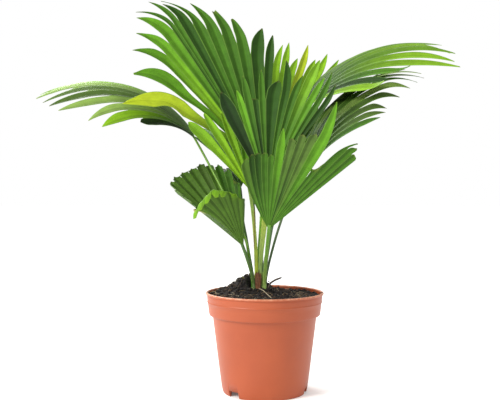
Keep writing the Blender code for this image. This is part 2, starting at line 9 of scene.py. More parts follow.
import bmesh
import bpy
import numpy as np
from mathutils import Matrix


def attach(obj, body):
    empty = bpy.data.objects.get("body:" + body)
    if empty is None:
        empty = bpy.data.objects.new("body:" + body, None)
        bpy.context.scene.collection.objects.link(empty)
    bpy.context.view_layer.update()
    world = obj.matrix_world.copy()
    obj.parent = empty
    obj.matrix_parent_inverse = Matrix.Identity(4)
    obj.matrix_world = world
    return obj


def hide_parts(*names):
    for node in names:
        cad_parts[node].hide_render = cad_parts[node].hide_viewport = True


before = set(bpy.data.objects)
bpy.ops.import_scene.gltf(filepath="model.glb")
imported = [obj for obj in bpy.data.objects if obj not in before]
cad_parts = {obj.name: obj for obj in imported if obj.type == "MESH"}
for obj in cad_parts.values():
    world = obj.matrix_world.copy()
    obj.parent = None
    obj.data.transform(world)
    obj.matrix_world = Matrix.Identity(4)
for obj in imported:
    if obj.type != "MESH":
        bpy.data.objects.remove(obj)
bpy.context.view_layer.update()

MM = 0.001

# The pot: a lip on top, a collar, and a body that tapers to a foot ring round a raised middle pad.
POT_HEIGHT = 126.0
LIP_RADIUS = 75.0
LIP_BEAD = 1.6
BEAD_TURN = np.radians(np.linspace(165, -75, 17))
COLLAR_FOOT_RADIUS = 70.4
COLLAR_FOOT = 97.4
BODY_TOP_RADIUS = 66.0
BODY_FOOT_RADIUS = 53.2
POT_WALL = 1.6
FLOOR_TOP = 11.0
FLOOR_UNDERSIDE = 9.0
FOOT_RING_WIDTH = 3.4
POT_STEPS = 192
PAD_RADIUS = 15.0
NOTCH_COUNT = 3
NOTCH_SIZE = np.array([20.0, 17.0, 16.0])
NOTCH_ROUNDING = 1.2
NOTCH_FIRST = -136.0
DRAIN_RADIUS = 4.0
DRAIN_RING_RADIUS = 41.0

# The soil: nearly level with the rim, with a heap behind and to the left of the stem. Its loose top lies
# 2 mm above the CAD solid at the rim and meets it at the heap.
SOIL_EDGE_HEIGHT = 121.0
SOIL_RADIUS = 71.2
SOIL_UNDERSIDE = ((69.0, 106.0), (67.8, 100.6), (63.4, 98.2), (50.9, 12.6), (48.5, 11.4))
LITTER_RADIUS = SOIL_RADIUS - 1.5
HEAP_HEIGHT = 24.0
HEAP_CENTRE = (-20.0, 14.0)
HEAP_SPREAD = 20.0
LUMPS = ((1.5, 8.0, 21), (1.0, 3.5, 22), (0.5, 1.6, 23))
CRUMB_COUNT = 2100
LIP_CRUMB_COUNT = 70
FIBRE_COUNT = 260
CRUMB_SIZE = (0.7, 2.1)
LIP_CRUMB_SIZE = (0.35, 0.8)
LIP_SPOTS = (200.0, 250.0, 340.0)
LIP_SPOT_SHARES = (0.6, 0.1, 0.3)
LIP_SPOT_SPREAD = 14.0
JAGGED = 0.22
FIBRE_POINTS = 9
FIBRE_LENGTH = (5.0, 17.0)
FIBRE_RADIUS = (0.1, 0.24)
FIBRE_ARCH = 3.0
STRAND_POINTS = 24
STRAND_SIDES = 4

# The stem: a short bundle of leaf sheaths, with one torn dry sheath in front that widens towards its top.
STEM_CENTRE = np.array([-7.0, 0.0, 0.0])
STEM_FOOT = 130.0
STEM_TOP = 150.0
STEM_RADIUS = 5.6
STEM_SEAT_RADIUS = 12.0
SEAT_BLEND = 6.0
STEM_FLARE, STEM_TAPER = 1.6, 1.4
SHEATH_COUNT, SHEATH_RIDGE = 5, 0.07
DRY_TURN = -92.0
DRY_HALF_SPREAD = (17.0, 13.0)
DRY_RADIUS = (9.8, 1.2)
DRY_THICKNESS = 0.5

# The leaf stalks: some rise from the stem's top, the rest stand round its side. Each is hollowed by a
# channel above and raised by a keel on both sides, as shares of its radius, and swells at its foot.
GAP = 0.3
TOP_SEAT_RADIUS = 3.4
TOP_SEAT_GAP = 0.6
SIDE_SEAT_HEIGHT = 133.0
SIDE_LEAN = 0.08
END_PULL = 0.65
END_RUN = 2.5
STALK_POINTS = 60
STALK_SIDES = 20
CHANNEL, CHANNEL_WIDTH = 0.32, 0.55
KEEL, KEEL_WIDTH, KEEL_TURN = 0.16, 0.3, 1.15
SWELL, SWELL_SHARE = 0.35, 0.07
UNEVEN = 0.025
THORN_COUNT = 12
THORN_SPAN = (10, 40)
THORN_LENGTH, THORN_BACK = 1.5, 0.6
THORN_LIFT = 0.4
THORN_HALF_WIDTH = 0.35

# The blades: fans of pleated strips, joined near the hub and free further out. A strip that is shorter
# than its slit counts as joined to its end.
INNER_RADIUS = 1.5
NECK_RADIUS = 5.0
NECK_GAP = 0.4
NECK_SAMPLES = 31
BEND_REACH = 0.8
BEND_STEPS = 24
CURL_START = 0.68
CURL_SPAN = 0.2
FLAT_CURL = 90.0
PRESSED = 0.85
PLEAT = 0.32
FOLD_ROUNDING = 0.09
RIPPLE, RIPPLE_RUN = 0.9, 17.0
BLADE_THICKNESS = 0.35
LEAST_FREE = 1.0
JOINED_ROWS = 30
FREE_ROWS = 28
COLUMNS = 12
NUDGE = 0.5
LATTICE = 64

# Sizes of the materials' patterns, and how far below the lip's top its pale scuffs and painted highlight
# start and are full. A leaf's real veins, 0.4 mm apart, are drawn three times as coarse, and the fibres of
# the rind and the grain of peat and litter about twice, so that they show.
VEIN_PITCH = 1.2
LEAF_MOTTLE = 11.1
RIND_STREAK = (1.11, 1.11, 25.0)
LITTER_GRAIN = (1.67, 1.67, 1.67)
PEAT_GRAIN = 2.38
POT_CLOUD = 71.4
POT_SCUFF_AND_HIGHLIGHT = 3.85
ORANGE_PEEL = 1.11
PAPER_CLOUD = 33.3
SCUFF_AND_HIGHLIGHT_DEPTHS = (2.5, 0.2)

# The photograph's width and the camera that was fitted to the pot in it, with its place in metres.
PHOTO_WIDTH = 500
FOCAL_PIXELS = 760
CAMERA_PLACE = (-0.0186, -0.966, 0.250)
CAMERA_TILT = 0.452

# The studio: its floor lies a hair below the pot, and the softboxes aim at a point in metres.
FLOOR_GAP = 0.05
LIGHT_AIM = (0.0, 0.0, 0.25)
WHITE = (1.0, 1.0, 1.0, 1.0)

# Colours of fresh leaf with light and shade painted in, from painted shadow on undersides and deep in the
# crown to the painted glow of sunlit and backlit tips.
TONES = {
    "dark": "#172A09", "blue": "#1A330F", "deep": "#264610", "mid": "#385F14", "fresh": "#4F7F18",
    "bright": "#78A41C", "yellow": "#A2B424", "olive": "#435B24", "pale": "#7A9648", "straw": "#8E8442",
    "moss": "#456420", "lime": "#65901C",
}
# Pale colour of the ribs between strips: a painted highlight along the fold crests.
PAINTED_RIB_HIGHLIGHT = "#668A38"
THORN_TONE = "#8E9A4A"

# How much strips and their streaks differ at random in tone, how much darker one half of each strip is
# painted as the shade of its pleat, and where tips are full and worn.
STRIP_SHADE, PLEAT_PAINTED_SHADE, STREAK_SHADE = 0.12, 0.16, 0.12
TIP_TONE_FULL = 0.95
WORN_START, WORN = 0.975, 0.2

# The Mix node repeats the names of its sockets, so its colour sockets go by number.
SHARE, FIRST, SECOND, MIXED = 0, 6, 7, 2

# Colours of peat crumbs and of dry fibres, and how much of each there is.
CRUMB_TONES = ("#0C0807", "#130D0A", "#1F1610", "#3A2A1C", "#8A7050", "#B9A480")
CRUMB_SHARES = (0.42, 0.3, 0.15, 0.07, 0.04, 0.02)
FIBRE_TONES = ("#33241A", "#5A4630", "#8A7556", "#BDAF92")
FIBRE_SHARES = (0.35, 0.3, 0.23, 0.12)

# Single threads: name, radius, colour, slot, CAD node and the points that each runs through.
STRANDS = (
    ("surface_root", 0.42, "#B5A78C", "soil", "soil",
     ((-8, -12, 131.5), (-2, -24, 130), (5, -33, 124.5), (11, -42, 121))),
    ("fallen_twig", 1.3, "#4A4038", "soil", "soil",
     ((4, -8, 131), (7.7, -9, 137.8), (12, -9, 141), (16.5, -9, 143), (21.7, -9, 144.9))),
    ("twig_fork", 0.6, "#4A4038", "soil", "soil", ((7.7, -9, 137.8), (5.5, -10, 139.5), (3.6, -10, 141))),
    ("green_sprig", 0.5, "#7A7A30", "soil", "soil", ((-30, 4, 147), (-26.5, 5, 142), (-22, 6, 138))),
    ("dried_thread", 0.45, "#6A3A1E", "stalk", "stalk_mid_left",
     ((-13, -4.6, 230), (-13.3, -4.6, 205), (-13.5, -4.6, 179))),
)


class Rib(NamedTuple):
    """How the blade runs along one fan angle: the shape between two ribs is interpolated."""
    angle: float
    joined: float
    bend: float
    cup: float = 0.0
    curl: float = 0.0


class Strip(NamedTuple):
    """One strip of a fan, from the edge angle of the one before, or of the first rib, to its own.

    Its free end tapers to the tip, narrows by the waist, is rounded by the point, leans by the sway and
    droops by the lift. The slit is where the gap on its high side starts, as a share of the joined length
    there, and the turn is where its end tone starts to come in, as a share of its own length.
    """
    high: float
    length: float
    root: str
    end: str
    tip: float = 0.05
    waist: float = 0.08
    point: float = 1.0
    power: float = 2.0
    slit: float = 1.0
    sway: float = 0.0
    lift: float = 0.0
    turn: float = 0.1


def lobe(low, high, first, last, count, tip, root, end, **more):
    """A run of like strips between two fan angles, their lengths stepping from first to last."""
    edges = np.linspace(low, high, count + 1)[1:]
    lengths = first + (last - first) * (np.arange(count) + 0.5) / count
    return [Strip(*each, root, end, tip, **more) for each in zip(edges, lengths)]


class Frond(NamedTuple):
    """One leaf: its hub, middle rib, upper face, the way it falls, its strips and its stalk."""
    name: str
    hub: tuple
    middle: tuple
    face: tuple
    fall: tuple
    ribs: tuple
    strips: list
    azimuth: float
    radii: tuple
    power: float = 1.2
    seat: str = "side"
    slot: str = "leaf_deep"
    stalk_tones: tuple = ("mid", "mid")
    pleat: float = PLEAT
    via: tuple = ()


# The leaves: nine that the photograph shows, then four at the back of the crown.
FRONDS = (
    Frond(
        "upper_left", hub=(-3, 28, 287),
        middle=(-0.36, 0.05, 0.92), face=(0.1, -1, 0.25), fall=(-0.8, 0.4, -0.5), power=1.5,
        ribs=(
            Rib(-38, 125, 15, 20), Rib(-29, 140, 12, 12), Rib(-22, 165, 7, 3), Rib(-18.8, 190, 5),
            Rib(-15, 200, 4), Rib(-8, 222, 4), Rib(0, 196, 4), Rib(10.7, 167, 3), Rib(16.4, 150, 2),
            Rib(29, 118, 2),
        ),
        strips=[
            Strip(-29, 199, "fresh", "yellow", sway=-8.5, slit=0.45, power=3.2, waist=0.5),
            Strip(-22, 203, "fresh", "fresh", 0.15, sway=-5, slit=0.6, power=3, waist=0.45),
            Strip(-18.5, 223, "bright", "fresh", sway=-4.4, power=1.7, waist=0.15),
            Strip(-15, 237, "bright", "fresh", sway=-3.7, power=1.7),
            Strip(-11, 254, "mid", "fresh", sway=-4.3, power=1.7),
            Strip(-9.5, 260, "deep", "mid", sway=-6.3, power=1.7), Strip(-7.5, 262, "mid", "mid", sway=-3.5),
            Strip(-3.5, 250, "deep", "deep", sway=-3.5),
            Strip(0.5, 254, "mid", "mid", 0.03, sway=-7.5, power=1.3),
            Strip(5.5, 236, "mid", "mid", sway=-4, power=1.7),
            Strip(10.7, 215, "mid", "mid", 0.25, sway=-2.7, point=-0.8),
            Strip(16.4, 201, "deep", "mid", 0.2, sway=-2.4, point=0.6),
            Strip(23.6, 186, "mid", "deep", 0.1, sway=2.5, power=2.4),
            Strip(29, 178, "deep", "deep", 0.1, sway=1, power=2.4),
        ],
        seat="top", azimuth=110, radii=(2.1, 1.8), stalk_tones=("fresh", "bright"),
    ),
    Frond(
        "mid_left", hub=(-18.6, -2, 254.8),
        middle=(-0.31, -0.12, 0.9), face=(0.1, -1, 0.3), fall=(-0.6, 0.6, -0.5), power=1.4,
        ribs=(Rib(-24, 82, 8), Rib(0, 86, 8), Rib(18, 76, 8)),
        strips=[
            Strip(-14, 116, "bright", "lime", 0.3, sway=-1, slit=0.6, power=2.6),
            Strip(-4, 113, "bright", "lime", 0.2, slit=0.4), Strip(7, 104, "lime", "lime", 0.2, slit=0.5),
            Strip(18, 94, "fresh", "fresh", 0.2),
        ],
        seat="top", azimuth=200, radii=(2.1, 1.9), slot="leaf_bright", stalk_tones=("yellow", "pale"),
    ),
    Frond(
        "left", hub=(-90.4, 45, 321.6),
        middle=(-0.54, -0.14, 0.85), face=(0.85, -0.2, 0.53), fall=(-0.5, 0, -1), power=1.1,
        ribs=(
            Rib(-45, 80, 45), Rib(-15, 150, 71), Rib(15, 150, 71), Rib(30, 130, 63), Rib(45, 90, 48),
        ),
        strips=[
            Strip(-38, 103, "dark", "dark", 0.1, lift=-1),
            Strip(-31, 151, "deep", "bright", lift=2.5, power=2.6),
            Strip(-25, 164, "olive", "pale", lift=3.5, slit=0.9),
            Strip(-19, 205, "olive", "pale", lift=-2, slit=0.9),
            Strip(-13, 214, "olive", "olive", lift=-0.5, slit=0.9),
            Strip(-7, 222, "olive", "olive", slit=0.9), Strip(0, 236, "olive", "pale", lift=-1.5),
            Strip(7, 235, "olive", "bright", lift=-1), Strip(14, 228, "olive", "bright"),
            Strip(21, 219, "mid", "bright"), Strip(28, 203, "mid", "pale", lift=-1),
            Strip(36, 184, "mid", "pale", lift=-2), Strip(45, 161, "mid", "pale", lift=-5),
        ],
        azimuth=180, radii=(1.9, 1.6), slot="leaf_shaded", stalk_tones=("mid", "lime"),
        via=((-19.5, -4.5, 165), (-25.5, -18, 197)),
    ),
    Frond(
        "low_left", hub=(-26.7, -18, 184),
        middle=(-0.91, -0.1, -0.4), face=(-0.38, -0.02, 0.91), fall=(-0.2, -0.7, -0.5), power=1.5,
        ribs=(
            Rib(-140, 56, 0, 60), Rib(-110, 82, 8, 66, 90), Rib(-85, 98, 18, 66, 110),
            Rib(-65, 100, 44, 65, 95), Rib(-50, 98, 66, 65, 60), Rib(-30, 80, 36, 68), Rib(0, 92, 14, 68),
            Rib(40, 122, 0, 60), Rib(65, 131, 0, 60), Rib(90, 131, 0, 60), Rib(132, 84, 0, 58),
        ),
        strips=[
            Strip(-125, 66, "moss", "moss", 0.9, power=3, point=0.4),
            Strip(-110, 82, "moss", "lime", 0.9, power=3, point=0.4, turn=0.75),
            *lobe(-110, -86, 96, 108, 2, 0.98, "moss", "lime", power=3, point=0.3, turn=0.76, waist=0),
            *lobe(-86, -50, 112, 111, 3, 0.98, "moss", "lime", power=3, point=0.3, turn=0.76, waist=0),
            Strip(-38, 93, "moss", "straw", 0.9, power=3, turn=0.7),
            *lobe(-38, -10, 84, 88, 2, 0.8, "moss", "mid", power=3),
            Strip(10, 103, "moss", "moss", 0.7, power=3), Strip(28, 112, "moss", "moss", 0.6, sway=-4),
            Strip(45, 131, "moss", "moss", 0.5, sway=6, power=2.4),
            Strip(58, 136, "moss", "moss", 0.7, power=2.4), Strip(70, 138, "olive", "moss", 0.8, power=2.4),
            Strip(81, 138, "olive", "moss", 0.8, power=2.4), Strip(91, 139, "deep", "olive", 0.8, power=2.4),
            Strip(100, 133, "olive", "moss", 0.6, power=2.4), Strip(110, 127, "deep", "mid", 0.6, power=2.4),
            Strip(121, 115, "deep", "mid", 0.6, power=2.4), Strip(132, 91, "deep", "mid", 0.6, power=2.4),
        ],
        azimuth=-140, radii=(2.2, 1.9), stalk_tones=("olive", "mid"), pleat=0.17,
    ),
    Frond(
        "front", hub=(4, -45, 207),
        middle=(0.3, -0.35, 0.88), face=(0, -1, -0.4), fall=(0.6, -0.5, -0.6),
        ribs=(
            Rib(-48, 96, 58, -8), Rib(-32, 95, 27, -5), Rib(-14, 90, 0), Rib(-8, 106, 0), Rib(8, 122, 0),
            Rib(15, 84, 5), Rib(18, 108, 5), Rib(23, 136, 3), Rib(31, 134, 0),
        ),
        strips=[
            Strip(-41, 101, "mid", "moss", 0.85, sway=2, power=3, point=0.6),
            Strip(-35, 102, "mid", "deep", 0.9, sway=1, power=3, point=0.3),
            Strip(-28, 101, "mid", "deep", 0.9, power=3, point=0.3),
            Strip(-21, 99, "mid", "mid", 0.9, power=3, point=0.3),
            Strip(-14, 96, "mid", "mid", 0.8, power=3, slit=0.9, point=0.5),
            Strip(-7, 129, "mid", "fresh", 0.1, slit=0.8),
            Strip(-2, 118, "mid", "olive", 0.8, power=3, point=0.6),
            Strip(3, 126, "deep", "olive", 0.8, power=3, point=0.6),
            Strip(8, 132, "moss", "olive", 0.6, sway=1, power=3),
            Strip(14, 176, "mid", "fresh", sway=-3, slit=0.9), Strip(18, 93, "mid", "mid", 0.8, sway=-3),
            Strip(23, 150, "mid", "mid", 0.15, sway=4, power=2.4),
            Strip(27, 145, "mid", "mid", 0.3, sway=1.5, power=2.4),
            Strip(31, 138, "mid", "mid", 0.3, sway=-1, power=2.4),
        ],
        azimuth=-38, radii=(2.2, 2.0), stalk_tones=("pale", "fresh"), pleat=0.22,
    ),
    Frond(
        "centre", hub=(3.6, -28, 255),
        middle=(0.05, 0.05, 0.95), face=(0, -1, 0), fall=(0.3, -0.6, -0.6), power=1.4,
        ribs=(
            Rib(-34, 100, -10), Rib(-14, 112, 5), Rib(3, 112, 10), Rib(14, 118, 10), Rib(29, 112, 15),
        ),
        strips=[
            Strip(-23, 137, "dark", "blue", 0.1, power=2.4, slit=0.8), Strip(-18, 130, "mid", "fresh", 0.1),
            Strip(-13.5, 145, "deep", "mid", 0.1), Strip(-9.5, 115, "dark", "deep", 0.2, sway=-2),
            Strip(-5.5, 149, "mid", "mid", 0.1), Strip(3, 136, "deep", "deep", 0.15, sway=2, power=2.8),
            Strip(8, 161, "mid", "deep", 0.1, sway=-3, power=2.4),
            Strip(12.5, 147, "deep", "mid", 0.1, sway=1),
            Strip(18, 172, "mid", "lime", 0.1, power=2.4, turn=0.4), Strip(22, 155, "mid", "fresh", 0.1),
            Strip(25.5, 165, "deep", "mid", 0.1, sway=-2.5), Strip(29, 154, "dark", "deep", 0.1, sway=-2),
        ],
        seat="top", azimuth=-70, radii=(2, 4.2), stalk_tones=("pale", "yellow"),
    ),
    Frond(
        "back_upright", hub=(11.5, 75, 296.6),
        middle=(0.15, 0.3, 0.92), face=(0, -1, 0.3), fall=(0.3, 0.7, -0.6), power=1.4,
        ribs=(Rib(-18, 125, 5), Rib(-8, 135, 8), Rib(10, 135, 10), Rib(22, 128, 15)),
        strips=[
            Strip(-13.5, 185, "fresh", "bright", sway=2), Strip(-9, 192, "bright", "yellow", sway=1.5),
            Strip(-4.5, 184, "bright", "bright", sway=2), Strip(0, 190, "fresh", "bright"),
            Strip(4.5, 166, "bright", "bright", sway=1), Strip(9, 193, "bright", "yellow", sway=-1),
            Strip(13.5, 173, "fresh", "bright"), Strip(18, 192, "bright", "bright", sway=-1.5),
            Strip(22, 195, "mid", "bright", sway=-1),
        ],
        seat="top", azimuth=30, radii=(1.7, 1.5), slot="leaf_bright",
    ),
    Frond(
        "upper_right", hub=(50, 60, 362),
        middle=(0.54, 0.06, 0.84), face=(-0.85, -0.35, 0.5), fall=(0.6, -0.1, -1), power=1.1,
        ribs=(
            Rib(-35, 120, 40), Rib(-15, 150, 54), Rib(5, 160, 60), Rib(25, 155, 60), Rib(50, 110, 38),
            Rib(60, 95, 30),
        ),
        strips=[
            Strip(-29, 180, "deep", "lime", lift=-2, slit=0.8),
            Strip(-23, 195, "deep", "bright", lift=-2, slit=0.8),
            Strip(-16, 210, "deep", "lime", lift=-1.5, slit=0.8), Strip(-8, 222, "deep", "bright", slit=0.8),
            Strip(0, 230, "deep", "lime", lift=0.5, slit=0.8),
            Strip(8, 226, "deep", "bright", lift=2.5, slit=0.8), Strip(16, 228, "deep", "lime", slit=0.8),
            Strip(24, 222, "deep", "bright", slit=0.8), Strip(32, 231, "deep", "bright", lift=-3, slit=0.7),
            Strip(40, 168, "dark", "fresh", lift=-3, slit=0.7), Strip(48, 141, "dark", "deep"),
            Strip(56, 142, "bright", "bright", 0.1, lift=-4),
        ],
        azimuth=33, radii=(1.8, 1.5), slot="leaf_bright",
    ),
    Frond(
        "right", hub=(52, 12, 273),
        middle=(0.16, 0, 0.985), face=(-0.88, -0.4, 0.2), fall=(0.97, 0.1, -0.25), power=1.0,
        ribs=(
            Rib(-30, 150, 67), Rib(-15, 165, 71), Rib(5, 165, 73), Rib(23, 115, 56), Rib(36, 84, 42),
        ),
        strips=[
            Strip(-23, 225, "olive", "olive", lift=-4, slit=0.72),
            Strip(-16, 240, "deep", "olive", lift=-1, slit=0.72),
            Strip(-9, 240, "olive", "pale", lift=2.5, slit=0.72),
            Strip(-2, 225, "deep", "olive", lift=4.5, slit=0.72),
            Strip(5, 203, "olive", "mid", lift=5, slit=0.72),
            Strip(12, 184, "olive", "pale", lift=4.5, slit=0.85),
            Strip(18, 162, "mid", "olive", lift=4.5, slit=0.85),
            Strip(24, 139, "mid", "olive", lift=4.5, slit=0.85), Strip(30, 135, "deep", "olive", lift=2.5),
            Strip(36, 127, "deep", "mid", lift=0.5),
        ],
        azimuth=1, radii=(1.7, 1.5), slot="leaf_shaded", stalk_tones=("deep", "olive"),
        via=((23, 5, 221),),
    ),
    Frond(
        "back_left", hub=(-16, 75, 261),
        middle=(-0.42, 0.5, 0.78), face=(0.2, -0.7, 0.6), fall=(-0.4, 0.8, -1),
        ribs=(Rib(-20, 90, 10), Rib(0, 140, 40), Rib(35, 110, 50)),
        strips=[
            *lobe(-20, -8, 108, 160, 2, 0.2, "deep", "mid"),
            *lobe(-8, 35, 175, 150, 7, 0.2, "mid", "mid"),
        ],
        azimuth=119, radii=(1.8, 1.5),
    ),
    Frond(
        "back", hub=(12, 100, 300),
        middle=(0.02, 0.64, 0.75), face=(0, -0.7, 0.6), fall=(0, 0.8, -1),
        ribs=(Rib(-35, 110, 40), Rib(0, 130, 50), Rib(35, 90, 40)),
        strips=[
            *lobe(-35, 0, 150, 180, 5, 0.2, "mid", "fresh"), *lobe(0, 35, 180, 130, 5, 0.2, "mid", "fresh"),
        ],
        azimuth=90, radii=(1.7, 1.5),
    ),
    Frond(
        "back_right", hub=(36, 82, 290),
        middle=(0.42, 0.48, 0.95), face=(-0.3, -0.7, 0.6), fall=(0.4, 0.8, -1),
        ribs=(Rib(-30, 95, 30), Rib(0, 115, 36), Rib(30, 90, 30)),
        strips=[
            *lobe(-30, 0, 125, 145, 4, 0.2, "mid", "mid"), *lobe(0, 30, 145, 110, 4, 0.2, "mid", "mid"),
        ],
        azimuth=62, radii=(1.7, 1.5),
    ),
    Frond(
        "low_back", hub=(-31, 66, 258),
        middle=(-0.35, 0.8, 0.55), face=(0, -0.3, 0.9), fall=(0, 0.6, -1),
        ribs=(Rib(-32, 50, 20), Rib(0, 62, 20), Rib(32, 50, 20)),
        strips=lobe(-32, 32, 76, 76, 6, 0.2, "deep", "deep"),
        azimuth=150, radii=(1.7, 1.5),
        via=((-23, 22, 190), (-28, 42, 216)),
    ),
)


def linear(hex_colour):
    """Turn an sRGB hex colour into linear RGBA."""
    channels = [int(hex_colour[k:k + 2], 16) / 255 for k in (1, 3, 5)]
    return [c / 12.92 if c <= 0.04045 else ((c + 0.055) / 1.055) ** 2.4 for c in channels] + [1.0]


def palette(hex_colours):
    """Linear RGBA of several sRGB hex colours, one row each."""
    return np.array([linear(colour) for colour in hex_colours])


def unit(vectors):
    """Scale vectors to length one."""
    vectors = np.asarray(vectors, float)
    return vectors / np.linalg.norm(vectors, axis=-1, keepdims=True)


def smooth(share):
    """Ease a share from 0 to 1: 3 s squared minus 2 s cubed, held at its ends."""
    share = np.clip(share, 0, 1)
    return share * share * (3 - 2 * share)


def value_noise(x, y, cell, seed):
    """Smooth noise between -1 and 1: random values on a square lattice, eased across each cell."""
    lattice = np.random.default_rng(seed).uniform(-1, 1, (LATTICE, LATTICE))
    u, v = np.asarray(x) / cell, np.asarray(y) / cell
    i, j = np.floor(u).astype(int), np.floor(v).astype(int)
    s, t = smooth(u - i), smooth(v - j)
    corners = [lattice[(i + a) % LATTICE, (j + b) % LATTICE] for a in (0, 1) for b in (0, 1)]
    low = corners[0] + (corners[1] - corners[0]) * t
    high = corners[2] + (corners[3] - corners[2]) * t
    return low + (high - low) * s


def full_turn(sides):
    """Angles of the points on a ring, as one row."""
    return np.linspace(0, 2 * np.pi, sides, endpoint=False)[None, :]


def around(radius, turn, height):
    """Points round Z at radii, angles and heights that broadcast to rings by sides."""
    radius, turn, height = np.broadcast_arrays(radius, turn, height)
    return np.stack([radius * np.cos(turn), radius * np.sin(turn), height], -1)


def plug(node, inputs):
    """Fill a node's named inputs: each with a value, an output, or the first output of another node."""
    for name, value in inputs.items():
        if isinstance(value, bpy.types.Node):
            value = value.outputs[0]
        if isinstance(value, bpy.types.NodeSocket):
            node.id_data.links.new(value, node.inputs[name])
        else:
            node.inputs[name].default_value = value


def add_node(tree, kind, inputs=None, **settings):
    """Add a shader node with its settings and its inputs."""
    made = tree.nodes.new("ShaderNode" + kind)
    for name, value in settings.items():
        setattr(made, name, value)
    plug(made, inputs or {})
    return made


def new_material(name):
    """An empty node material, its tree, its Principled shader and its Object coordinates."""
    made = bpy.data.materials.new(name)
    made.use_nodes = True
    tree = made.node_tree
    return made, tree, tree.nodes["Principled BSDF"], add_node(tree, "TexCoord").outputs["Object"]


def place_in_scene(name, data):
    """An object for a mesh, lamp or camera, linked to the scene."""
    obj = bpy.data.objects.new(name, data)
    bpy.context.scene.collection.objects.link(obj)
    return obj


def two_tones(tree, place, grain, detail, span, hex_colours):
    """Noise in cells of the given millimetres, and the two colours that it mixes across its span."""
    noise = add_node(tree, "TexNoise", {"Vector": place, "Scale": 1 / (grain * MM), "Detail": detail})
    share = add_node(tree, "MapRange", {"Value": noise, "From Min": span[0], "From Max": span[1]})
    first, second = (linear(colour) for colour in hex_colours)
    colour = add_node(tree, "Mix", {SHARE: share, FIRST: first, SECOND: second}, data_type="RGBA")
    return noise, colour.outputs[MIXED]


def mesh_piece(name, points, faces, finish, tones=None, uv=None, flat=False):
    """A mesh object from points in millimetres and index faces, with its colours and its UV map."""
    mesh = bpy.data.meshes.new(name)
    mesh.from_pydata((np.asarray(points).reshape(-1, 3) * MM).tolist(), [], [list(face) for face in faces])
    if tones is not None:
        layer = mesh.color_attributes.new("tone", "FLOAT_COLOR", "POINT")
        layer.data.foreach_set("color", np.asarray(tones, float).ravel())
    if uv is not None:
        corners = np.empty(len(mesh.loops), int)
        mesh.loops.foreach_get("vertex_index", corners)
        mesh.uv_layers.new(name="UVMap").data.foreach_set("uv", np.asarray(uv)[corners].ravel())
    mesh.polygons.foreach_set("use_smooth", np.full(len(mesh.polygons), not flat))
    mesh.update()
    mesh.materials.append(finish)
    return place_in_scene(name, mesh)


def thicken(piece, thickness, offset):
    """Give a sheet its thickness, by Solidify."""
    shell = piece.modifiers.new("thickness", "SOLIDIFY")
    shell.thickness = thickness * MM
    shell.offset = offset


def grid_faces(rings, sides, closed=True):
    """Quads between neighbouring rings of points, each ring closed on itself where asked."""
    ring, side = np.meshgrid(np.arange(rings - 1), np.arange(sides if closed else sides - 1), indexing="ij")
    low, high = ring * sides, (ring + 1) * sides
    onward = (side + 1) % sides
    return np.stack([low + side, low + onward, high + onward, high + side], -1).reshape(-1, 4)


def tube_faces(rings, sides):
    """Quads between the rings of a tube and a cap at each end, facing outwards where the rings rise."""
    caps = [list(range(sides - 1, -1, -1)), list(range((rings - 1) * sides, rings * sides))]
    return grid_faces(rings, sides).tolist() + caps


def belongs(piece, slot_name, *nodes):
    """Let a finished piece ride with the plant and stand for its CAD nodes; its slot name is not used."""
    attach(piece, "root")
    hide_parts(*nodes)


# Leaf blades


def fan_axes(frond):
    """The fan's middle rib, its sideways direction and the normal of its upper face."""
    middle = unit(frond.middle)
    side = unit(np.cross(middle, frond.face))
    return middle, side, np.cross(side, middle)


def along_ribs(frond, angle, field):
    """A rib's value at any fan angle."""
    return np.interp(angle, [rib.angle for rib in frond.ribs], [getattr(rib, field) for rib in frond.ribs])


def rib_start(frond, angle):
    """Unit directions in which ribs leave the hub, raised out of the fan's plane by the cup."""
    middle, side, normal = fan_axes(frond)
    turn = np.radians(angle)[..., None]
    cup = np.radians(along_ribs(frond, angle, "cup"))[..., None]
    return np.cos(cup) * (np.cos(turn) * middle + np.sin(turn) * side) + np.sin(cup) * normal


def past_curl(reach):
    """How far a rib has gone through its curl: a smoothstep from 0 before it to 1 beyond it."""
    return smooth((reach - CURL_START) / CURL_SPAN)


def blade_points(frond, angle, radius, lift):
    """Points of the unpleated blade at fan angles and distances from the hub.

    A rib starts straight from the hub and turns towards the fall direction by
    bend * u ** power + curl * smoothstep, where u grows with the distance, so a point is the hub plus
    the distance times the mean of the rib's direction up to there. The lift is added to the bend.
    """
    angle, radius, lift = np.broadcast_arrays(angle, radius, lift)
    start = rib_start(frond, angle)
    fall = unit(frond.fall)
    turned_way = unit(fall - (start * fall).sum(-1, keepdims=True) * start)
    steps = (np.arange(BEND_STEPS) + 0.5) / BEND_STEPS
    reach = steps * (BEND_REACH * radius / along_ribs(frond, angle, "joined"))[..., None]
    bend = np.radians(along_ribs(frond, angle, "bend"))[..., None] * reach ** frond.power
    curl = np.radians(along_ribs(frond, angle, "curl"))[..., None] * past_curl(reach)
    turn = bend + curl + np.radians(lift)[..., None]
    run = np.cos(turn).mean(-1)[..., None]
    drop = np.sin(turn).mean(-1)[..., None]
    return np.array(frond.hub) + radius[..., None] * (run * start + drop * turned_way)


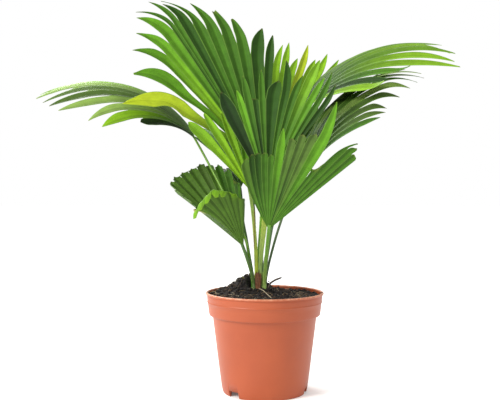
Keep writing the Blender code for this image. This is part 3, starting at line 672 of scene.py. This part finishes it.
def fan_grid(frond):
    """Angle, distance, column, half angle, lift and share of every point: strips by rows by columns.

    Rows run from the hub to where the strips part and on to each one's own length. A strip narrows
    by 1 - (1 - tip) * t ** power, and over its inner half once more by its waist times the sine of
    2 pi t, where t is 0 at the slit and 1 at the tip. Its end is rounded, or notched by a negative
    point, by taking point * column * half width off the distance.
    """
    numbers = np.array([[*strip[:2], *strip[4:11]] for strip in frond.strips], float).T[..., None, None]
    high, length, tip, waist, point, power, slit, sway, lift = numbers
    low = np.concatenate([np.full((1, 1, 1), frond.ribs[0].angle), high[:-1]])
    row = np.arange(JOINED_ROWS + FREE_ROWS)[None, :, None]
    column = np.linspace(-1, 1, COLUMNS + 1)[None, None, :]
    inner = np.clip(row / (JOINED_ROWS - 1), 0, 1)
    outer = np.clip((row - JOINED_ROWS + 1) / FREE_ROWS, 0, 1)
    middle, half = (low + high) / 2, (high - low) / 2
    joined = along_ribs(frond, middle + half * column, "joined")
    radius = INNER_RADIUS + (joined - INNER_RADIUS) * inner + (length - joined) * outer
    before = np.concatenate([np.ones((1, 1, 1)), slit[:-1]])
    opens = np.where(column < 0, before, slit) * joined
    share = np.clip((radius - opens) / np.maximum(length - opens, LEAST_FREE), 0, 1)
    narrow = 1 - waist * np.sin(np.pi * np.minimum(2 * share, 1))
    width = (1 - (1 - tip) * share ** power) * narrow
    angle = middle + half * column * width + sway * outer ** 2
    blunt = point * np.abs(column) ** 1.5 * np.radians(half) * tip * length * outer ** 6
    return angle, radius - blunt, column, half * width, lift * outer ** 2, share


def fan_tones(frond, radius, column, rng):
    """Colour of every point: each strip runs from its root tone to its end tone, one half darker by painted
    pleat shade.

    The alpha holds the distance from the midrib as a share, which paints pale ribs between strips as a
    highlight.
    """
    roots = palette(TONES[strip.root] for strip in frond.strips)[:, None, None, :]
    ends = palette(TONES[strip.end] for strip in frond.strips)[:, None, None, :]
    lengths = np.array([strip.length for strip in frond.strips])[:, None, None]
    turn = np.array([strip.turn for strip in frond.strips])[:, None, None]
    tones = roots + (ends - roots) * smooth((radius / lengths - turn) / (TIP_TONE_FULL - turn))[..., None]
    streaks = STREAK_SHADE * rng.uniform(-1, 1, (len(lengths), 1, column.shape[-1]))
    # Random tone by strip, plus painted pleat shade that darkens one half of every strip.
    tone_and_pleat_shade = 1 + STRIP_SHADE * rng.uniform(-1, 1, (len(lengths), 1, 1)) + PLEAT_PAINTED_SHADE * np.sign(column)
    tones[..., :3] *= (tone_and_pleat_shade + streaks)[..., None]
    worn = np.clip((radius / lengths - WORN_START) / (1 - WORN_START), 0, 1)[..., None]
    tones = tones + (palette([TONES["straw"]]) - tones) * worn * WORN
    tones[..., 3] = np.abs(column) * (1 - worn[..., 0])
    return tones


def make_fan(frond, number, finish):
    """The pleated blade: each strip's midrib sinks below its edges by pleat * distance * half angle.

    Where the blade curls its pleats are pressed flat, and the free strips ripple a little by a sine.
    """
    rng = np.random.default_rng(number + 11)
    angle, radius, column, half, lift, share = fan_grid(frond)

    def near(turn, run):
        """The blade's points, moved by a turn of the fan angle and a run from the hub."""
        return blade_points(frond, angle + turn, radius + run, lift)

    normal = unit(np.cross(near(NUDGE, 0) - near(-NUDGE, 0), near(0, NUDGE) - near(0, -NUDGE)))
    crest = np.hypot(1, FOLD_ROUNDING)
    fold = (crest - np.hypot(column, FOLD_ROUNDING)) / (crest - FOLD_ROUNDING)
    reach = BEND_REACH * radius / along_ribs(frond, angle, "joined")
    curl = along_ribs(frond, angle, "curl") * past_curl(reach)
    depth = frond.pleat * (1 - PRESSED * np.clip(curl / FLAT_CURL, 0, 1)) * radius * np.radians(half) * fold
    wave = rng.uniform(0, 2 * np.pi, (len(frond.strips), 1, 1))
    ripple = RIPPLE * share * np.sin(radius / RIPPLE_RUN + wave) * (1 - np.abs(column) * 0.4)
    points = near(0, 0) + normal * (ripple - depth)[..., None]
    index = np.arange(radius.size).reshape(radius.shape)
    slits = np.array([strip.slit for strip in frond.strips])[:, None]
    welded = np.arange(radius.shape[1])[None, :] <= slits * (JOINED_ROWS - 1)
    same = index.copy()
    same[:-1, :, -1] = np.where(welded[:-1], index[1:, :, 0], index[:-1, :, -1])
    inner, outer = same[:, :-1], same[:, 1:]
    quads = np.stack([inner[..., :-1], inner[..., 1:], outer[..., 1:], outer[..., :-1]], -1)
    used, faces = np.unique(quads.reshape(-1, 4), return_inverse=True)
    uv = np.stack([column * radius * np.radians(half), radius], -1).reshape(-1, 2)[used]
    tones = fan_tones(frond, radius, column, rng).reshape(-1, 4)[used]
    fan = mesh_piece(
        f"fan_{frond.name}", points.reshape(-1, 3)[used], faces.reshape(-1, 4), finish, tones, uv,
    )
    thicken(fan, BLADE_THICKNESS, 1.0)
    belongs(fan, frond.slot, f"blade_{frond.name}")


def leaf_finish():
    """Fresh palm leaf: smooth waxy skin, satin sheen, with fine veins that run along each strip.

    The UV map counts real millimetres across a strip from its midrib, so the veins stay parallel. The
    ribs between two strips are painted paler than the blade, as a highlight along the fold crests.
    """
    finish, tree, shader, place = new_material("fresh_palm_leaf")
    uv = add_node(tree, "UVMap", uv_map="UVMap")
    parts = add_node(tree, "SeparateXYZ", {"Vector": uv})
    vein = add_node(tree, "Math", {0: parts.outputs["X"], 1: VEIN_PITCH / 2}, operation="PINGPONG")
    mottle = add_node(tree, "TexNoise", {"Vector": place, "Scale": 1 / (LEAF_MOTTLE * MM), "Detail": 3.0})
    tone = add_node(tree, "VertexColor", layer_name="tone")
    vein_light = add_node(
        tree, "MapRange", {"Value": vein, "From Max": VEIN_PITCH / 2, "To Min": 0.82, "To Max": 1.12},
    )
    mottle_light = add_node(
        tree, "MapRange", {"Value": mottle, "From Min": 0.3, "From Max": 0.7, "To Min": 0.86, "To Max": 1.12},
    )
    light = add_node(tree, "Math", {0: vein_light, 1: mottle_light}, operation="MULTIPLY")
    shaded = add_node(tree, "VectorMath", {0: tone, "Scale": light}, operation="SCALE")
    # Paints a pale highlight along the ribs at the strips' edges.
    rib = add_node(tree, "MapRange", {"Value": tone.outputs["Alpha"], "From Min": 0.86, "To Max": 0.6})
    colours = {SHARE: rib, FIRST: shaded, SECOND: linear(PAINTED_RIB_HIGHLIGHT)}
    colour = add_node(tree, "Mix", colours, data_type="RGBA").outputs[MIXED]
    sheen = add_node(tree, "MapRange", {"Value": mottle, "To Min": 0.42, "To Max": 0.58})
    bump = add_node(tree, "Bump", {"Height": vein, "Strength": 0.3, "Distance": 0.5 * MM})
    plug(shader, {
        "Base Color": colour, "Roughness": sheen, "Normal": bump, "Specular IOR Level": 0.12,
    })
    return finish


# Leaf stalks


def smooth_line(points, leave, arrive, count):
    """A cubic line through the points, pulled at its ends by the two given vectors."""
    spans = np.linalg.norm(np.diff(points, axis=0), axis=1)
    ways = np.vstack([leave, unit(points[2:] - points[:-2]), arrive])
    at = np.linspace(0, len(spans), count)
    k = np.minimum(at.astype(int), len(spans) - 1)
    t = (at - k)[:, None]
    pull = spans[k][:, None]
    from_start = (2 * t ** 3 - 3 * t ** 2 + 1) * points[k] + (t ** 3 - 2 * t ** 2 + t) * pull * ways[k]
    to_end = (3 * t ** 2 - 2 * t ** 3) * points[k + 1] + (t ** 3 - t ** 2) * pull * ways[k + 1]
    return from_start + to_end


def stalk_line(frond):
    """The leaf stalk's centre line, from inside its seat by or on the stem to the hub of its fan."""
    turn = np.radians(frond.azimuth)
    away = np.array([np.cos(turn), np.sin(turn), 0.0])
    up = np.array([0.0, 0.0, 1.0])
    if frond.seat == "top":
        seat = away * TOP_SEAT_RADIUS + up * (STEM_TOP + TOP_SEAT_GAP)
        leave = up
    else:
        seat = away * (STEM_RADIUS + frond.radii[0] + GAP) + up * SIDE_SEAT_HEIGHT
        leave = unit(up + away * SIDE_LEAN)
    seat = seat + STEM_CENTRE
    angles = np.linspace(frond.ribs[0].angle, frond.ribs[-1].angle, NECK_SAMPLES)
    neck = unit(rib_start(frond, angles).mean(0))
    reach = np.sqrt(NECK_RADIUS ** 2 - (frond.radii[1] + 2 * GAP) ** 2) - NECK_GAP
    spread = np.radians(angles[-1] - angles[0]) / 2
    reach = max(reach, NECK_RADIUS * np.cos(spread) - 2 * NECK_GAP)
    points = np.array([seat, *frond.via, np.array(frond.hub) + neck * reach])
    arrive = unit(neck + unit(points[-1] - points[-2]))
    line = smooth_line(points, END_PULL * leave, END_PULL * arrive, STALK_POINTS)
    return np.vstack([seat - leave * 2 * END_RUN, seat - leave * END_RUN, line, line[-1] + neck * END_RUN])


def make_petiole(frond, number, finish):
    """The stalk: rings round a line, hollowed along the upper side and keeled along its two edges.

    Channel, keels and swollen foot are bell curves: e to the minus square of angle or share by width.
    """
    rng = np.random.default_rng(number + 41)
    line = stalk_line(frond)
    way = unit(np.gradient(line, axis=0))
    face = unit(frond.face)
    upper = unit(face - (way * face).sum(-1, keepdims=True) * way)
    aside = np.cross(way, upper)
    share = np.linspace(0, 1, len(line))[:, None]
    turn = full_turn(STALK_SIDES)
    from_top = np.minimum(turn, 2 * np.pi - turn)
    channel = CHANNEL * np.exp(-(from_top / CHANNEL_WIDTH) ** 2)
    keel = KEEL * np.exp(-((from_top - KEEL_TURN) / KEEL_WIDTH) ** 2)
    radius = frond.radii[0] + (frond.radii[1] - frond.radii[0]) * share
    radius = radius * (1 + SWELL * np.exp(-(share / SWELL_SHARE) ** 2)) * (1 - channel + keel)
    radius = radius * (1 + UNEVEN * value_noise(share * 40 + number, turn * 2, 1.0, number))
    out = np.cos(turn)[..., None] * upper[:, None, :] + np.sin(turn)[..., None] * aside[:, None, :]
    points = (line[:, None, :] + radius[..., None] * out).reshape(-1, 3)
    faces = tube_faces(len(line), STALK_SIDES)
    root, end = palette(TONES[name] for name in frond.stalk_tones)
    tones = np.repeat(root + (end - root) * smooth(share), STALK_SIDES, 0)
    if max(frond.radii) > 2:
        thorn_points, thorn_faces = thorns(line, way, upper, aside, frond.radii[0], rng, len(points))
        points = np.vstack([points, thorn_points])
        faces += thorn_faces.tolist()
        tones = np.vstack([tones, np.repeat(palette([THORN_TONE]), len(thorn_points), 0)])
    petiole = mesh_piece(f"petiole_{frond.name}", points, faces, finish, tones)
    belongs(petiole, "stalk", f"stalk_{frond.name}")


def thorns(line, way, upper, aside, radius, rng, offset):
    """Small backward spines on both keels: four-sided cones, as two arrays of points and faces."""
    spots = rng.integers(*THORN_SPAN, THORN_COUNT)
    hand = np.where(np.arange(THORN_COUNT) % 2, 1.0, -1.0)[:, None]
    along, out = way[spots], unit(hand * aside[spots] + THORN_LIFT * upper[spots])
    over = np.cross(out, along)
    foot = line[spots] + out * radius * 0.9
    top = foot + out * THORN_LENGTH - along * THORN_BACK
    ring = [foot + THORN_HALF_WIDTH * side for side in (along, over, -along, -over)]
    points = np.stack([*ring, top], 1).reshape(-1, 3)
    first = offset + 5 * np.arange(THORN_COUNT)[:, None, None]
    return points, (first + [[0, 1, 4], [1, 2, 4], [2, 3, 4], [3, 0, 4]]).reshape(-1, 3)


def toned_finish(name, grain, detail, contrast, bump, roughness):
    """A material of the vertex tones, made lighter and darker by a bumpy grain.

    The grain is noise in cells of the given millimetres along X, Y and Z, and the bump is its strength
    and its height in millimetres.
    """
    finish, tree, shader, place = new_material(name)
    cells = add_node(
        tree, "VectorMath", {0: place, 1: [1 / (size * MM) for size in grain]}, operation="MULTIPLY",
    )
    noise = add_node(tree, "TexNoise", {"Vector": cells, "Scale": 1.0, "Detail": detail})
    low, high = contrast
    light = add_node(
        tree, "MapRange", {"Value": noise, "From Min": 0.3, "From Max": 0.7, "To Min": low, "To Max": high},
    )
    tone = add_node(tree, "VertexColor", layer_name="tone")
    shaded = add_node(tree, "VectorMath", {0: tone, "Scale": light}, operation="SCALE")
    rough = add_node(tree, "Bump", {"Height": noise, "Strength": bump[0], "Distance": bump[1] * MM})
    plug(shader, {"Base Color": shaded, "Normal": rough, "Roughness": roughness})
    return finish


def rind_finish():
    """Leaf stalk: a smooth fibrous rind with long faint streaks and a satin sheen."""
    return toned_finish("palm_petiole_rind", RIND_STREAK, 2.0, (0.75, 1.15), (0.3, 0.4), 0.42)


def litter_finish(name, roughness):
    """Dry plant matter, such as sheath, fibre and peat crumbs: a fine broken grain with no gloss."""
    return toned_finish(name, LITTER_GRAIN, 3.0, (0.7, 1.2), (0.5, 0.5), roughness)


# Stem


def make_sheaths(finish):
    """The short stem: a column ridged by the cosine of the angle times its sheaths, drawn in on top."""
    rings, sides = 24, 40
    share, turn = np.linspace(0, 1, rings)[:, None], full_turn(sides)
    ridges = 1 + SHEATH_RIDGE * np.cos(SHEATH_COUNT * turn + 2 * share)
    radius = (STEM_RADIUS + STEM_FLARE - STEM_TAPER * share) * ridges
    radius = radius * np.sqrt(np.clip(1.02 - share ** 8, 0, 1))
    radius = radius + 0.35 * value_noise(turn * 7, share * 6, 1.0, 5)
    height = STEM_FOOT - 2 + (STEM_TOP + 5 - STEM_FOOT) * share
    brown, green = palette(["#5A6228", "#7F9A3C"])
    tones = np.repeat(brown + (green - brown) * smooth(share * 1.4 - 0.2), sides, 0)
    points = STEM_CENTRE + around(radius, turn, height)
    stem = mesh_piece("leaf_sheaths", points, tube_faces(rings, sides), finish, tones)
    belongs(stem, "stem", "stem")


def make_dry_sheath(finish):
    """An old torn sheath on the front of the stem, wider towards its top, which noise cuts ragged."""
    rows, columns = 26, 44
    share = np.linspace(0, 1, rows)[:, None]
    across = np.linspace(-1, 1, columns)[None, :]
    turn = np.radians(DRY_TURN + (DRY_HALF_SPREAD[0] + DRY_HALF_SPREAD[1] * share) * across)
    torn = 3.5 * value_noise(across * 4, 0, 1.0, 3) + 1.5 * value_noise(across * 11, 0, 1.0, 4)
    top = STEM_TOP + 3 + torn - 5 * (across + 0.2) ** 2
    height = STEM_FOOT + (top - STEM_FOOT) * share
    radius = DRY_RADIUS[0] - DRY_RADIUS[1] * share + 0.4 * value_noise(across * 5, share * 4, 1.0, 8)
    points = STEM_CENTRE - [1, 0, 0] + around(radius, turn, height)
    dark, light = palette(["#2E1A0E", "#7E4C26"])
    mix = (0.5 + 0.5 * value_noise(across * 12, share * 2, 1.0, 6))[..., None]
    tones = dark + (light - dark) * mix
    sheath = mesh_piece("dry_sheath", points, grid_faces(rows, columns, closed=False), finish, tones)
    thicken(sheath, DRY_THICKNESS, -1.0)
    belongs(sheath, "stem", "stem")


# Soil


def soil_height(x, y):
    """Height of the soil: level near the rim, heaped behind the stem, flat under the stem's foot."""
    from_heap = ((x - HEAP_CENTRE[0]) ** 2 + (y - HEAP_CENTRE[1]) ** 2) / (2 * HEAP_SPREAD ** 2)
    from_stem = np.hypot(x - STEM_CENTRE[0], y - STEM_CENTRE[1])
    open_soil = SOIL_EDGE_HEIGHT + HEAP_HEIGHT * np.exp(-from_heap)
    blend = smooth((from_stem - STEM_SEAT_RADIUS) / SEAT_BLEND)
    return STEM_FOOT + (open_soil - STEM_FOOT) * blend


def crumbly_height(x, y):
    """The soil's height with three sizes of lump, each a noise of its own height and cell."""
    return soil_height(x, y) + sum(height * value_noise(x, y, cell, seed) for height, cell, seed in LUMPS)


def make_soil_bed(finish):
    """The soil in the pot: a lumpy top over rings of one centre, and a plain side and underside."""
    rings, sides = 90, 200
    radius, turn = np.linspace(0.4, SOIL_RADIUS, rings)[:, None], full_turn(sides)
    top = around(radius, turn, crumbly_height(radius * np.cos(turn), radius * np.sin(turn)))
    below = np.array(SOIL_UNDERSIDE)
    points = np.concatenate([top, around(below[:, :1], turn, below[:, 1:])])
    faces = [face[::-1] for face in tube_faces(len(points), sides)]
    belongs(mesh_piece("soil_bed", points, faces, finish), "soil", "soil")


def scattered(rng, count, reach):
    """Places spread evenly over the soil's disc, as two columns: the root of chance times the reach."""
    radius = reach * np.sqrt(rng.uniform(0, 1, (count, 1)))
    turn = rng.uniform(0, 2 * np.pi, (count, 1))
    return radius * np.cos(turn), radius * np.sin(turn)


def make_crumbs(finish):
    """Loose crumbs of peat and bark: jittered twenty-sided lumps, sunk by a third into the soil.

    Some lie on the pot's lip. The pale ones stay near the rim.
    """
    rng = np.random.default_rng(7)
    x, y = scattered(rng, CRUMB_COUNT, LITTER_RADIUS)
    size = CRUMB_SIZE[0] + CRUMB_SIZE[1] * rng.uniform(0, 1, (CRUMB_COUNT, 1)) ** 3
    z = crumbly_height(x, y) + 0.3 * size
    on_lip = (LIP_CRUMB_COUNT, 1)
    spots = rng.choice(LIP_SPOTS, on_lip, p=LIP_SPOT_SHARES)
    turn = np.radians(spots + rng.normal(0, LIP_SPOT_SPREAD, on_lip))
    lip = LIP_RADIUS - 2.6 + rng.uniform(-2.2, 1.2, on_lip)
    lip_height = np.where(lip > LIP_RADIUS - 3, POT_HEIGHT, POT_HEIGHT - 2)
    middle = np.concatenate([np.stack([x, y, z], -1), around(lip, turn, lip_height)])
    size = np.concatenate([size, rng.uniform(*LIP_CRUMB_SIZE, on_lip)])[..., None]
    total = len(middle)
    solid = bmesh.new()
    bmesh.ops.create_icosphere(solid, subdivisions=1, radius=1.0)
    shape = np.array([vert.co for vert in solid.verts])
    corners = np.array([[vert.index for vert in face.verts] for face in solid.faces])
    solid.free()
    stretch = rng.uniform(0.55, 1.25, (total, 1, 3)) * size
    lumps = shape * (1 + JAGGED * rng.uniform(-1, 1, (total, len(shape), 1))) * stretch
    spin = rng.uniform(0, 2 * np.pi, (total, 1))
    across, over, up = np.moveaxis(lumps, -1, 0)
    aside, ahead = across * np.cos(spin) - over * np.sin(spin), across * np.sin(spin) + over * np.cos(spin)
    points = middle + np.stack([aside, ahead, 0.8 * up], -1)
    faces = (corners + len(shape) * np.arange(total)[:, None, None]).reshape(-1, 3)
    kind = rng.choice(len(CRUMB_TONES), total, p=CRUMB_SHARES)
    inside = np.hypot(middle[:, 0, 0], middle[:, 0, 1]) < 0.8 * SOIL_RADIUS
    kind[inside] = np.minimum(kind[inside], 3)
    kind[CRUMB_COUNT:] = rng.choice([3, 4, 5], LIP_CRUMB_COUNT, p=[0.4, 0.45, 0.15])
    tones = np.repeat(palette(CRUMB_TONES)[kind], len(shape), 0)
    belongs(mesh_piece("soil_crumbs", points, faces, finish, tones, flat=True), "soil", "soil")


def strands(paths, radii):
    """Round threads: rings of points round each path, with a cap at each end, as points and faces."""
    number, count = radii.shape
    way = unit(np.gradient(paths, axis=1))
    aside = unit(np.cross(way, [0.31, 0.17, 0.94]))
    over = np.cross(way, aside)
    turn = full_turn(STRAND_SIDES)[..., None]
    out = np.cos(turn) * aside[:, :, None, :] + np.sin(turn) * over[:, :, None, :]
    points = paths[:, :, None, :] + radii[:, :, None, None] * out
    first = (np.arange(number) * count * STRAND_SIDES)[:, None, None]
    return points, (np.array(tube_faces(count, STRAND_SIDES)) + first).reshape(-1, 4)


def thinned(share, blunt):
    """Radius along a thread as a share, thinned at both ends: the root of blunt - (2 s - 1) ** 6."""
    return np.sqrt(np.clip(blunt - (2 * share - 1) ** 6, 0, 1))


def make_fibres(finish):
    """Pale peat fibres and root hairs that lie over the soil, each a line bent by one turn."""
    rng = np.random.default_rng(17)
    each = (FIBRE_COUNT, 1)
    x, y = scattered(rng, FIBRE_COUNT, SOIL_RADIUS - 5)
    heading = rng.uniform(0, 2 * np.pi, each)
    curl = rng.normal(0, 1.4, each)
    length = FIBRE_LENGTH[0] + FIBRE_LENGTH[1] * rng.uniform(0, 1, each) ** 2
    share = np.linspace(0, 1, FIBRE_POINTS)[None, :]
    turn, step = heading + curl * share, length / (FIBRE_POINTS - 1)
    x, y = x + np.cumsum(np.cos(turn) * step, 1), y + np.cumsum(np.sin(turn) * step, 1)
    beyond = np.maximum(np.hypot(x, y) / LITTER_RADIUS, 1)
    x, y = x / beyond, y / beyond
    arch = rng.uniform(0, FIBRE_ARCH, each) * np.sin(np.pi * share)
    z = crumbly_height(x, y) + 0.8 + arch
    radii = rng.uniform(*FIBRE_RADIUS, each) * thinned(share, 1.03)
    points, faces = strands(np.stack([x, y, z], -1), radii)
    kind = rng.choice(len(FIBRE_TONES), FIBRE_COUNT, p=FIBRE_SHARES)
    tones = np.repeat(palette(FIBRE_TONES)[kind], FIBRE_POINTS * STRAND_SIDES, 0)
    belongs(mesh_piece("peat_fibres", points, faces, finish, tones), "soil", "soil")


def make_strand(name, radius, colour, slot_name, node, points, finish):
    """One rounder thread through a few points, such as a root, a twig or a dried leaf thread."""
    points = np.array(points, float)
    line = smooth_line(points, unit(points[1] - points[0]), unit(points[-1] - points[-2]), STRAND_POINTS)
    places, faces = strands(line[None], radius * thinned(np.linspace(0, 1, len(line)), 1.05)[None])
    tones = np.repeat(palette([colour]), len(line) * STRAND_SIDES, 0)
    belongs(mesh_piece(name, places, faces, finish, tones), slot_name, node)


def soil_finish():
    """Moist peat: near black, crumbly and without any gloss."""
    finish, tree, shader, place = new_material("moist_peat")
    grain, colour = two_tones(tree, place, PEAT_GRAIN, 5.0, (0.35, 0.7), ("#0B0706", "#1D140E"))
    bump = add_node(tree, "Bump", {"Height": grain, "Strength": 0.8, "Distance": 1.2 * MM})
    plug(shader, {"Base Color": colour, "Normal": bump, "Roughness": 0.95})
    return finish


# Pot


def pot_profile():
    """The pot's section as radius and height, from its floor's middle over the lip to its underside."""
    inner_foot, ring = BODY_FOOT_RADIUS - POT_WALL, BODY_FOOT_RADIUS - FOOT_RING_WIDTH
    shoulder, collar = BODY_TOP_RADIUS - POT_WALL, COLLAR_FOOT_RADIUS - POT_WALL
    inside = [
        (0, FLOOR_TOP), (15, FLOOR_TOP), (30, FLOOR_TOP), (inner_foot - 1.2, FLOOR_TOP),
        (inner_foot - 0.3, FLOOR_TOP + 0.3), (inner_foot, FLOOR_TOP + 1.2),
        (inner_foot + 4, 37), (inner_foot + 8, 67), (shoulder, 98.2), (shoulder + 1, 99.2), (collar, 100.6),
        (collar + 1.6, 112), (LIP_RADIUS - 2.9, 122.6), (LIP_RADIUS - 3.1, 123.9),
    ]
    bead = [LIP_RADIUS, POT_HEIGHT] + LIP_BEAD * (np.array([np.cos(BEAD_TURN), np.sin(BEAD_TURN)]).T - 1)
    outside = [
        (LIP_RADIUS - 2.0, 122.4), (73.2, 121.8), (73.2, 120.5), (72.9, 116.0), (72.75, 114.9),
        (73.05, 114.5), (73.15, 114.0), (73.0, 113.5), (72.4, 113.1), (71.75, 108.0), (71.05, 101.9),
        (70.7, 99.5), (COLLAR_FOOT_RADIUS, 98.3), (COLLAR_FOOT_RADIUS - 0.2, 97.7),
        (COLLAR_FOOT_RADIUS - 0.7, COLLAR_FOOT), (67.4, 97.3), (66.5, 97.0), (66.1, 96.4),
        (BODY_TOP_RADIUS - 0.1, 95.4), (64.2, 82), (62.2, 66), (60.2, 50), (58.2, 34), (56.2, 19), (54.6, 7),
        (BODY_FOOT_RADIUS + 0.15, 2.0), (53.1, 1.0), (52.8, 0.4), (52.3, 0.05), (51.8, 0), (ring + 0.5, 0),
        (ring + 0.1, 0.2), (ring, 0.6), (ring - 0.3, FLOOR_UNDERSIDE - 0.4), (ring - 0.9, FLOOR_UNDERSIDE),
        (30, FLOOR_UNDERSIDE), (PAD_RADIUS + 1.2, FLOOR_UNDERSIDE), (PAD_RADIUS + 0.7, FLOOR_UNDERSIDE - 0.3),
        (PAD_RADIUS + 0.4, 0.6), (PAD_RADIUS + 0.2, 0.2), (PAD_RADIUS - 0.2, 0), (7, 0), (0, 0),
    ]
    return np.vstack([inside, bead, outside])


def make_pot(finish):
    """The pot: its section turned round Z, then notched at the foot and pierced for drainage."""
    profile = pot_profile()
    section, ends = profile[1:-1], profile[[0, -1]]
    points = around(section[:, :1], full_turn(POT_STEPS), section[:, 1:]).reshape(-1, 3)
    top, bottom = len(points), len(points) + 1
    points = np.vstack([points, np.column_stack([ends[:, 0], [0, 0], ends[:, 1]])])
    side = np.arange(POT_STEPS)
    onward = (side + 1) % POT_STEPS
    last = top - POT_STEPS
    faces = grid_faces(len(section), POT_STEPS)[:, ::-1].tolist()
    faces += np.stack([np.full(POT_STEPS, top), side, onward], -1).tolist()
    faces += np.stack([np.full(POT_STEPS, bottom), last + onward, last + side], -1).tolist()
    pot = mesh_piece("nursery_pot", points, faces, finish)
    for k in range(NOTCH_COUNT):
        cut_foot(pot, np.radians(NOTCH_FIRST + k * 360 / NOTCH_COUNT))
    pot.data.shade_smooth()
    belongs(pot, "pot", "pot")


def cut_foot(pot, turn):
    """Take a rounded notch out of the foot ring, and a round drain hole out of the floor inside it."""
    away = np.array([np.cos(turn), np.sin(turn), 0.0])
    for kind, radius in (("notch", BODY_FOOT_RADIUS), ("drain", DRAIN_RING_RADIUS)):
        solid = bmesh.new()
        if kind == "notch":
            bmesh.ops.create_cube(solid, size=1.0)
            bmesh.ops.scale(solid, vec=NOTCH_SIZE * MM, verts=solid.verts)
            bmesh.ops.bevel(
                solid, geom=solid.edges, offset=NOTCH_ROUNDING * MM, segments=3, profile=0.5, affect="EDGES",
            )
        else:
            bmesh.ops.create_cone(
                solid, cap_ends=True, segments=32, radius1=DRAIN_RADIUS * MM, radius2=DRAIN_RADIUS * MM,
                depth=4 * FLOOR_TOP * MM,
            )
        mesh = bpy.data.meshes.new(kind)
        solid.to_mesh(mesh)
        solid.free()
        cutter = place_in_scene(kind, mesh)
        cutter.rotation_euler.z = turn
        cutter.location = away * radius * MM
        cut = pot.modifiers.new(kind, "BOOLEAN")
        cut.object = cutter
        cut.solver = "EXACT"
        bpy.context.view_layer.update()
        carved = bpy.data.meshes.new_from_object(pot.evaluated_get(bpy.context.evaluated_depsgraph_get()))
        pot.modifiers.clear()
        pot.data = carved
        bpy.data.objects.remove(cutter, do_unlink=True)


def pot_finish():
    """Moulded polypropylene, terracotta coloured: satin, faintly orange-peeled, pale at its lip from scuffs
    and a painted highlight.
    """
    finish, tree, shader, place = new_material("moulded_polypropylene")
    cloud, plastic = two_tones(tree, place, POT_CLOUD, 4.0, (0.35, 0.65), ("#97411A", "#A24920"))
    scuff_and_highlight, peel = (
        add_node(tree, "TexNoise", {"Vector": place, "Scale": 1 / (size * MM), "Detail": detail})
        for size, detail in ((POT_SCUFF_AND_HIGHLIGHT, 4.0), (ORANGE_PEEL, 1.0))
    )
    height = add_node(tree, "SeparateXYZ", {"Vector": place})
    scuff_and_highlight_foot, scuff_and_highlight_full = ((POT_HEIGHT - depth) * MM for depth in SCUFF_AND_HIGHLIGHT_DEPTHS)
    near_lip = add_node(
        tree, "MapRange", {"Value": height.outputs["Z"], "From Min": scuff_and_highlight_foot, "From Max": scuff_and_highlight_full},
    )
    # Pale patches along the lip's top: partly scuffs, partly a painted highlight on the lit bead.
    worn = add_node(
        tree, "MapRange", {"Value": scuff_and_highlight, "From Min": 0.4, "From Max": 0.62, "To Min": 0.25, "To Max": 0.8},
    )
    share = add_node(tree, "Math", {0: near_lip, 1: worn}, operation="MULTIPLY")
    colours = {SHARE: share, FIRST: plastic, SECOND: linear("#D9A080")}
    colour = add_node(tree, "Mix", colours, data_type="RGBA").outputs[MIXED]
    rough = add_node(tree, "MapRange", {"Value": cloud, "To Min": 0.36, "To Max": 0.52})
    bump = add_node(tree, "Bump", {"Height": peel, "Strength": 0.12, "Distance": 0.4 * MM})
    plug(shader, {"Base Color": colour, "Roughness": rough, "Normal": bump})
    return finish


# Studio


def make_floor():
    """A wide pale floor of white paper: a disc of rings round the pot, the same from every side."""
    finish, tree, shader, place = new_material("white_paper_floor")
    paper = two_tones(tree, place, PAPER_CLOUD, 2.0, (0, 1), ("#F7F7F6", "#FBFBFA"))[1]
    plug(shader, {
        "Base Color": paper, "Roughness": 0.9, "Specular IOR Level": 0.0, "Emission Color": WHITE,
        "Emission Strength": 0.1,
    })
    sides = 96
    radius = np.array([1, 200, 700, 2000, 6000, 15000])[:, None]
    faces = grid_faces(len(radius), sides)[:, ::-1].tolist() + [list(range(sides))]
    floor = mesh_piece("studio_floor", around(radius, full_turn(sides), -FLOOR_GAP), faces, finish)


def add_light(name, place, size, energy, colour):
    """A square softbox that faces the crown."""
    lamp = bpy.data.lights.new(name, "AREA")
    lamp.size = size
    lamp.energy = energy
    lamp.color = linear(colour)[:3]
    obj = place_in_scene(name, lamp)
    obj.location = place
    back = unit(np.array(place) - LIGHT_AIM)
    obj.rotation_euler = (np.arccos(back[2]), 0.0, np.arctan2(back[0], -back[1]))


def light_studio():
    """Soft white surroundings with a softbox at the left front and one behind."""
    world = bpy.data.worlds.new("studio_white")
    world.use_nodes = True
    plug(world.node_tree.nodes["Background"], {"Color": WHITE, "Strength": 1.0})
    bpy.context.scene.world = world
    add_light("softbox_left", (-1.5, -1.1, 1.3), 0.8, 44.0, "#FFFDF8")
    add_light("softbox_back", (-0.9, 1.3, 1.5), 0.9, 30.0, "#FFFFFF")


def place_camera():
    """The photograph's view: a pinhole that looks along +Y, tilted down by a small angle."""
    lens = bpy.data.cameras.new("camera")
    lens.sensor_width = 36.0
    lens.lens = FOCAL_PIXELS / PHOTO_WIDTH * lens.sensor_width
    camera = place_in_scene("camera", lens)
    camera.location = CAMERA_PLACE
    camera.rotation_euler = (np.radians(90 - CAMERA_TILT), 0.0, 0.0)
    bpy.context.scene.camera = camera


def build():
    """Make every piece, then the studio round it."""
    leaf, rind = leaf_finish(), rind_finish()
    for number, frond in enumerate(FRONDS):
        make_fan(frond, number, leaf)
        make_petiole(frond, number, rind)
    fibre = litter_finish("dry_plant_fibre", 0.85)
    make_sheaths(litter_finish("leaf_sheath", 0.7))
    make_dry_sheath(fibre)
    make_soil_bed(soil_finish())
    make_crumbs(litter_finish("peat_crumb", 0.95))
    make_fibres(fibre)
    for strand in STRANDS:
        make_strand(*strand, fibre)
    make_pot(pot_finish())
    make_floor()
    light_studio()
    place_camera()


build()
bpy.context.scene.view_settings.view_transform = "Standard"
